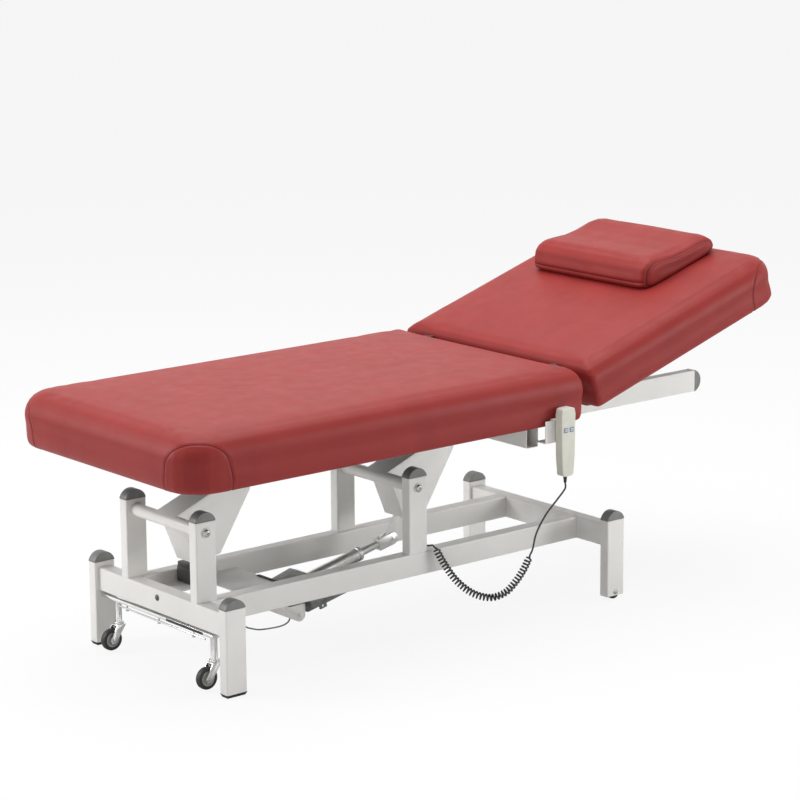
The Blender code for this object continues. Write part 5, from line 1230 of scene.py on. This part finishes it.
@dataclass
class BaseFrame:
    """Welded tubes, plate and feet of the base, with their bolts."""

    reach: float = 0.1633
    bolt_head: Profile = (      # radius, and height over the upright's face
        (0, 0.0045), (0.0032, 0.0045), (0.0034, 0.0076), (0.0042, 0.008), (0.0068, 0.0072), (0.0088, 0.0054),
        (0.0098, 0.0028), (0.010, 0.002), (0.0122, 0.0019), (0.0125, 0.0012), (0.0125, 0), (0.006, 0))
    beam_low: float = 0.145
    beam_top: float = 0.205
    bead_inset: float = 0.003
    lid_height: float = 0.012
    lid_overlap: float = 0.0005
    lid_step: float = 0.0008
    lid_screw_inset: float = 0.009
    lid_screw_sunk: float = 0.0018
    lid_screw_radius: float = 0.0024
    member_screw: tuple[float, float, float] = (0.0076, 0.1836, 0.0062)     # side, height, radius
    strip_low: Point = (0.3273, -0.064, 0.1722)     # from the foot end and the middle plane
    strip_high: Point = (0.3375, 0.024, 0.1785)

    def build(self) -> None:
        """Dress the steelwork and make its fasteners."""
        keep(Finish.COAT, "cross_member_foot", "cross_member_head")
        for side in Side:
            names = ("side_rail", "leg_foot", "leg_head", "upright_foot", "upright_mid")
            keep(Finish.COAT, *(f"{name}_{side.word}" for name in names))
            keep(Finish.RUBBER, f"foot_pad_{side.word}")
            self.welds(side)
        eased("base_plate", 0.0007, Finish.COAT, Body.BASE, Slot.COAT)
        self.bolt(FOOT_PIVOT_X, "foot_pivot_bolt")
        self.bolt(MID_PIVOT_X, "mid_pivot_bolt")
        self.box()
        self.trim()

    def bolt(self, x: float, node: str) -> None:
        """Through bolt with domed, socketed heads and washers."""
        profile = mirrored([(radius, self.reach + height) for radius, height in self.bolt_head])
        piece = lathe(node + "_turned", profile, facing("Y", (x, MIDDLE_Y, PIVOT_Z)), 48)
        dress(piece, Finish.ZINC, Body.BASE, Slot.ZINC, node)

    def box(self) -> None:
        """Control box: tray, and lid with four screws."""
        low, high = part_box("control_box")
        tray = soft_block("control_box_tray", low, (high.x, high.y, high.z - self.lid_height), 0.0015)
        dress(tray, Finish.CASE, Body.BASE, Slot.BLACK, "control_box")
        step = self.lid_step
        lid = soft_block("control_box_lid", (low.x + step, low.y + step, high.z - self.lid_height - self.lid_overlap),
                         (high.x - step, high.y - step, high.z), 0.003)
        dress(lid, Finish.CASE, Body.BASE, Slot.BLACK)
        screws = Fastener()
        inset = self.lid_screw_inset
        corners = product((low.x + inset, high.x - inset), (low.y + inset, high.y - inset))
        for index, (x, y) in enumerate(corners):
            place = facing("Z", (x, y, high.z - self.lid_screw_sunk))
            screws.button(f"control_box_screw_{index}", place, self.lid_screw_radius, Body.BASE)

    def trim(self) -> None:
        """Screw of the foot cross member and the plate's rubber edge."""
        low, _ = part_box("cross_member_foot")
        aside, height, radius = self.member_screw
        Fastener().button("cross_member_screw", facing("-X", (low.x, MIDDLE_Y + aside, height)), radius,
                          Body.BASE, Finish.DARK_STEEL)
        from_foot = Vector((FOOT_X, MIDDLE_Y, 0))
        strip = soft_block("plate_edge_rubber", from_foot + Vector(self.strip_low),
                           from_foot + Vector(self.strip_high), 0.0012)
        dress(strip, Finish.RUBBER, Body.BASE, Slot.RUBBER)

    def welds(self, side: Side) -> None:
        """Beads where uprights, legs and rails meet the cross members."""
        weld = Weld()
        bottom, top = self.beam_low, self.beam_top
        for name in ("upright_foot", "upright_mid"):
            low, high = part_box(f"{name}_{side.word}")
            edge, face = side.pick((low.y, high.y), (high.y, low.y))
            line = [(low.x, edge, top), (low.x, face, top), (high.x, face, top), (high.x, edge, top)]
            weld.bead(f"weld_{name}_{side.word}", line[1:] if name == "upright_foot" else line, Body.BASE)
        rail_low, rail_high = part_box(f"side_rail_{side.word}")
        for end in ("foot", "head"):
            cross_low, cross_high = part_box(f"cross_member_{end}")
            leg_low, leg_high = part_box(f"leg_{end}_{side.word}")
            y = side.pick(leg_high.y, leg_low.y)
            line = [(cross_low.x, y, bottom), (cross_low.x, y, top), (cross_high.x, y, top),
                    (cross_high.x, y, bottom)]
            weld.bead(f"weld_leg_{end}_{side.word}", line, Body.BASE)
            x = cross_high.x if end == "foot" else cross_low.x
            for word, y in (("outer", side.pick(rail_low.y, rail_high.y)),
                            ("inner", side.pick(rail_high.y, rail_low.y))):
                line = [(x, y, bottom + self.bead_inset), (x, y, top - self.bead_inset)]
                weld.bead(f"weld_rail_{end}_{word}_{side.word}", line, Body.BASE)


@dataclass
class Lift:
    """Levers and actuator."""

    pivot: Point = (-0.40057, MIDDLE_Y, 0.060)
    angle: float = 12.5
    axis_height: float = 0.0736
    tube_radius: float = 0.0165
    tube_back: float = 0.050
    tube_front: float = 0.2314
    ring_radius: float = 0.019
    bore: float = 0.0106
    housing_half: float = 0.030
    case_screws: Profile = ((-0.055, 0.066), (-0.020, 0.100), (0.030, 0.088), (0.040, 0.055))
    case_screw_radius: float = 0.0026
    collar: Profile = ((0.0075, 0), (0.0155, 0), (0.0160, 0.0005), (0.0160, 0.0020), (0.0155, 0.0025),
                       (0.0075, 0.0025))

    def build(self) -> None:
        """Dress the levers and build the actuator's turned pieces."""
        eased("actuator_motor", 0.002, Finish.MOTOR, Body.ACTUATOR, Slot.MOTOR, 3)
        eased("actuator_rod", 0.001, Finish.DRAWN_STEEL, Body.ACTUATOR_ROD, Slot.ZINC)
        self.tube()
        self.screws()
        self.lever("foot_lever", Body.FOOT_LEVER, FOOT_PIVOT_X)
        self.lever("mid_lever", Body.MID_LEVER, MID_PIVOT_X)

    def frame(self) -> Matrix:
        """Actuator's frame: X along it, Z up from it, zero on its rear pin."""
        return Matrix.Translation(self.pivot) @ Matrix.Rotation(-math.radians(self.angle), 4, "Y")

    def tube(self) -> None:
        """Outer tube with its guide ring and wiper seal."""
        along = (self.frame() @ Matrix.Translation((0, 0, self.axis_height))
                 @ Matrix.Rotation(math.radians(90), 4, "Y"))
        bore, end, ring = self.bore, self.tube_front, self.ring_radius
        profile = [(bore, self.tube_back), (self.tube_radius, self.tube_back), (self.tube_radius, end - 0.011),
                   (ring - 0.0006, end - 0.0105), (ring, end - 0.0098), (ring, end - 0.0012),
                   (ring - 0.0012, end), (bore, end)]
        piece = lathe("actuator_outer_tube", profile, along, 48, True)
        dress(piece, Finish.DRAWN_STEEL, Body.ACTUATOR, Slot.ZINC, "actuator_tube")
        seal = [(bore, end - 0.001), (bore + 0.0042, end - 0.001), (bore + 0.0042, end + 0.0004),
                (bore + 0.001, end + 0.0022), (bore, end + 0.0022)]
        dress(lathe("actuator_seal", seal, along, 40, True), Finish.RUBBER, Body.ACTUATOR, Slot.RUBBER)

    def screws(self) -> None:
        """Housing screws on both cheeks of the gear case."""
        screws = Fastener()
        for side in Side:
            for index, (x, z) in enumerate(self.case_screws):
                place = self.frame() @ facing(side.outward, (x, side.value * self.housing_half, z))
                screws.button(f"gear_case_screw_{index}_{side.word}", place, self.case_screw_radius, Body.ACTUATOR)

    def lever(self, node: str, body: Body, x: float) -> None:
        """Lever, with nylon collars between its pivot tube and the uprights."""
        eased(node, 0.0008, Finish.COAT, body, Slot.COAT)
        low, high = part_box(node)
        for side in Side:
            place = facing(side.inward, (x, side.pick(low.y, high.y), PIVOT_Z))
            piece = lathe(f"{node}_collar_{side.word}", self.collar, place, 40, True)
            dress(piece, Finish.BLACK, body, Slot.BLACK)


@dataclass
class TopFrame:
    """Tubes under the seat, hinge straps and gas strut."""

    cylinder_round: float = 0.0006
    rod_round: float = 0.0004

    def build(self) -> None:
        """Dress the frame."""
        keep(Finish.COAT, "top_rail_near", "top_rail_far", "top_cross_foot", "top_cross_mid")
        keep(Finish.HINGE, "top_cross_hinge", "back_frame")
        eased("strut_cylinder", self.cylinder_round, Finish.BLACK, Body.STRUT_CYLINDER, Slot.BLACK)
        eased("strut_rod", self.rod_round, Finish.CHROME, Body.STRUT_ROD, Slot.CHROME)


@dataclass
class HandSwitch:
    """Corded hand switch with two push buttons."""

    border_share: float = 0.94
    border: float = 0.0023
    rise: float = 0.0008
    arrow_share: float = 0.36
    relief_radius: float = 0.0055
    relief_length: float = 0.018
    ribs: int = 5

    def build(self) -> None:
        """Dress the switch."""
        shell = eased_copy("switch_shell", 0.0011, 3, 15)
        dress(shell, Finish.SHELL, Body.HAND_SWITCH, Slot.SWITCH, "switch_shell")
        self.button("button_up", Body.BUTTON_UP, 1)
        self.button("button_down", Body.BUTTON_DOWN, -1)
        self.relief()

    def button(self, node: str, body: Body, way: int) -> None:
        """Pale button with a blue border and a raised blue arrow.

        Args:
            node: CAD node of the button.
            body: Body it moves with.
            way: 1 where the arrow points up, -1 where it points down.
        """
        low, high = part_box(node)
        dress(soft_block(node + "_pad", low, high, 0.0007), Finish.SHELL, body, Slot.BUTTON, node)
        half = (high.x - low.x) / 2
        place = facing("-Y", ((low.x + high.x) / 2, low.y, (low.z + high.z) / 2))
        outer = half * self.border_share
        for word, side, rise, finish in (("border", outer, self.rise, Finish.BUTTON),
                                         ("face", outer - self.border, self.rise * 1.4, Finish.SHELL)):
            outline = ((-side, -side), (side, -side), (side, side), (-side, side))
            plate = slab(f"{node}_{word}", outline, rise, place, self.rise * 0.2, 2, half * 0.2)
            dress(plate, finish, body, Slot.BUTTON)
        reach = half * self.arrow_share
        arrow = [(-reach, -way * reach * 0.7), (reach, -way * reach * 0.7), (0, way * reach)]
        dress(slab(node + "_arrow", arrow, self.rise * 1.8, place), Finish.BUTTON, body, Slot.BUTTON)

    def relief(self) -> None:
        """Ribbed, tapered strain relief at the cord's exit."""
        low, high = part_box("switch_strain_relief")
        profile = [(0, 0), (self.relief_radius, 0)]
        for rib in range(self.ribs):
            start = -(rib + 0.25) / self.ribs * self.relief_length
            radius = self.relief_radius * (1 - 0.34 * rib / self.ribs)
            valley = radius - 0.0011
            profile += [(radius, start), (radius, start - 0.0018), (valley, start - 0.0022), (valley, start - 0.0032)]
        profile += [(self.relief_radius * 0.56, -self.relief_length), (0, -self.relief_length)]
        place = Matrix.Translation(((low.x + high.x) / 2, (low.y + high.y) / 2, high.z))
        piece = lathe("cord_strain_relief", profile, place, 32)
        dress(piece, Finish.BLACK, Body.HAND_SWITCH, Slot.SWITCH, "switch_strain_relief")


@dataclass
class Wheels:
    """Casters at the foot end and wheels in the head legs."""

    swivel_x: float = -0.80657
    axle_x: float = -0.83057
    axle_z: float = 0.031
    fork_top: float = 0.068
    race: Profile = ((0, -0.0105), (0.0086, -0.0105), (0.0112, -0.0085), (0.0126, -0.0050), (0.0128, -0.0024),
                     (0.0122, -0.0006), (0.0112, 0), (0, 0))
    bar_front: float = -0.82357
    insert_low: Point = (-0.0008, -0.183, 0.1326)       # from the bar's front and the middle plane
    insert_high: Point = (0.002, -0.029, 0.1394)
    link_x: float = 0.006
    link_z: float = 0.1215
    link_rod: Profile = ((0, 0.185), (0.0022, 0.185), (0.0024, 0.184))
    stud: Profile = ((0, 0), (0.0022, 0), (0.0022, 0.016), (0, 0.016))
    stud_top: float = 0.1330
    stud_sides: Sequence[float] = (0.149, 0.010, -0.137)
    nut_z: float = 0.1188
    cheek_out: float = 0.0127
    rim_share: float = 0.66
    axle_bore: float = 0.0033
    roller_half: float = 0.0105
    leg_axle: float = 0.004
    leg_head: float = 0.0065
    leg_head_rise: float = 0.004

    def build(self) -> None:
        """Make and dress all wheels."""
        eased("caster_bar", 0.0008, Finish.CHROME, Body.CARRIAGE, Slot.ZINC)
        self.bars()
        for side in Side:
            self.caster_wheel(side, Body(f"caster_wheel_{side.word}"))
            self.fork(side, Body(f"caster_fork_{side.word}"))
            self.leg_wheel(side, Body(f"head_wheel_{side.word}"))

    def bars(self) -> None:
        """Black insert, thin link rod and its bolts along the caster bar."""
        front = Vector((self.bar_front, MIDDLE_Y, 0))
        insert = soft_block("caster_bar_insert", front + Vector(self.insert_low), front + Vector(self.insert_high),
                            0.0006)
        dress(insert, Finish.BLACK, Body.CARRIAGE, Slot.BLACK)
        x = self.bar_front + self.link_x
        rod = lathe("caster_link_rod", mirrored(self.link_rod), facing("Y", (x, MIDDLE_Y, self.link_z)), 20)
        dress(rod, Finish.CHROME, Body.CARRIAGE, Slot.CHROME)
        nuts = Fastener()
        for index, aside in enumerate(self.stud_sides):
            y = MIDDLE_Y + aside
            stud = lathe(f"caster_link_stud_{index}", self.stud, facing("-Z", (x, y, self.stud_top)), 16)
            dress(stud, Finish.ZINC, Body.CARRIAGE, Slot.ZINC)
            nuts.hexagon(f"caster_link_nut_{index}", facing("-Z", (x, y, self.nut_z)), 0.0044, 0.0032,
                         Body.CARRIAGE)

    def fork(self, side: Side, body: Body) -> None:
        """Pressed fork, its ball race and the axle's nuts."""
        eased(f"caster_fork_{side.word}", 0.0009, Finish.CHROME, body, Slot.CHROME)
        low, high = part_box(f"caster_wheel_{side.word}")
        y = (low.y + high.y) / 2
        race = lathe(f"caster_race_{side.word}", self.race, facing("Z", (self.swivel_x, y, self.fork_top)), 40)
        dress(race, Finish.CHROME, body, Slot.CHROME)
        nuts = Fastener()
        for cheek in Side:
            place = facing(cheek.outward, (self.axle_x, y + cheek.value * self.cheek_out, self.axle_z))
            nuts.hexagon(f"caster_nut_{side.word}_{cheek.word}", place, 0.0046, 0.0024, body)

    def caster_wheel(self, side: Side, body: Body) -> None:
        """Tyre and centre of one caster wheel."""
        node = f"caster_wheel_{side.word}"
        low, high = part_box(node)
        place = facing("Y", (low + high) / 2)
        radius, half = (high.z - low.z) / 2, (high.y - low.y) / 2
        rim = radius * self.rim_share
        tyre = [(rim, half * 0.80), (rim + 0.0012, half), (radius - 0.0042, half), (radius - 0.0014, half - 0.0014),
                (radius - 0.0002, half * 0.55), (radius, half * 0.25)]
        piece = lathe(f"caster_tyre_{side.word}", mirrored(tyre), place, 56, True)
        dress(piece, Finish.TREAD, body, Slot.RUBBER, node)
        hub = [(self.axle_bore, half), (0.0068, half), (0.0076, half - 0.0008), (0.0082, half * 0.50),
               (rim - 0.0036, half * 0.42), (rim - 0.0024, half * 0.80), (rim + 0.0002, half * 0.84)]
        dress(lathe(f"caster_centre_{side.word}", mirrored(hub), place, 48, True), Finish.HUB, body, Slot.RUBBER)

    def leg_wheel(self, side: Side, body: Body) -> None:
        """Grooved roller and headed axle of one head leg."""
        node = f"head_wheel_{side.word}"
        low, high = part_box(node)
        leg_low, leg_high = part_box(f"leg_head_{side.word}")
        centre = Vector(((low.x + high.x) / 2, (leg_low.y + leg_high.y) / 2, (low.z + high.z) / 2))
        radius, half = (high.z - low.z) / 2, self.roller_half
        roller = [(self.leg_axle - 0.0002, half), (0.0078, half), (0.0084, half - 0.0012),
                  (radius - 0.006, half - 0.0012), (radius - 0.005, half), (radius - 0.0018, half),
                  (radius - 0.0004, half - 0.0012), (radius, half - 0.003), (radius, 0.0011)]
        groove = (radius - 0.0012, 0)
        piece = lathe(f"leg_roller_{side.word}", mirrored(roller, groove), facing("Y", centre), 48, True)
        dress(piece, Finish.TREAD, body, Slot.RUBBER, node)
        outer = (leg_high.y - leg_low.y) / 2 + GAP
        rise, head = self.leg_head_rise, self.leg_head
        axle = [(0, outer + rise - 0.0014), (0.0022, outer + rise - 0.0014), (0.0026, outer + rise),
                (head * 0.72, outer + rise - 0.0002), (head * 0.94, outer + rise * 0.60), (head, outer + 0.0005),
                (head, outer), (self.leg_axle, outer), (self.leg_axle, -outer), (0, -outer)]
        piece = lathe(f"leg_axle_{side.word}", axle, facing(side.outward, centre), 36)
        dress(piece, Finish.ZINC, body, Slot.ZINC)


def main() -> None:
    """Build the whole dressed table."""
    logging.basicConfig(level=logging.INFO, format="%(message)s")
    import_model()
    Studio().build()
    for assembly in (Cords, Upholstery, EndCaps, BaseFrame, Lift, TopFrame, HandSwitch, Wheels):
        assembly().build()
        LOG.info("%s built", assembly.__name__)
    bpy.context.view_layer.update()


if __name__ == "__main__":
    main()
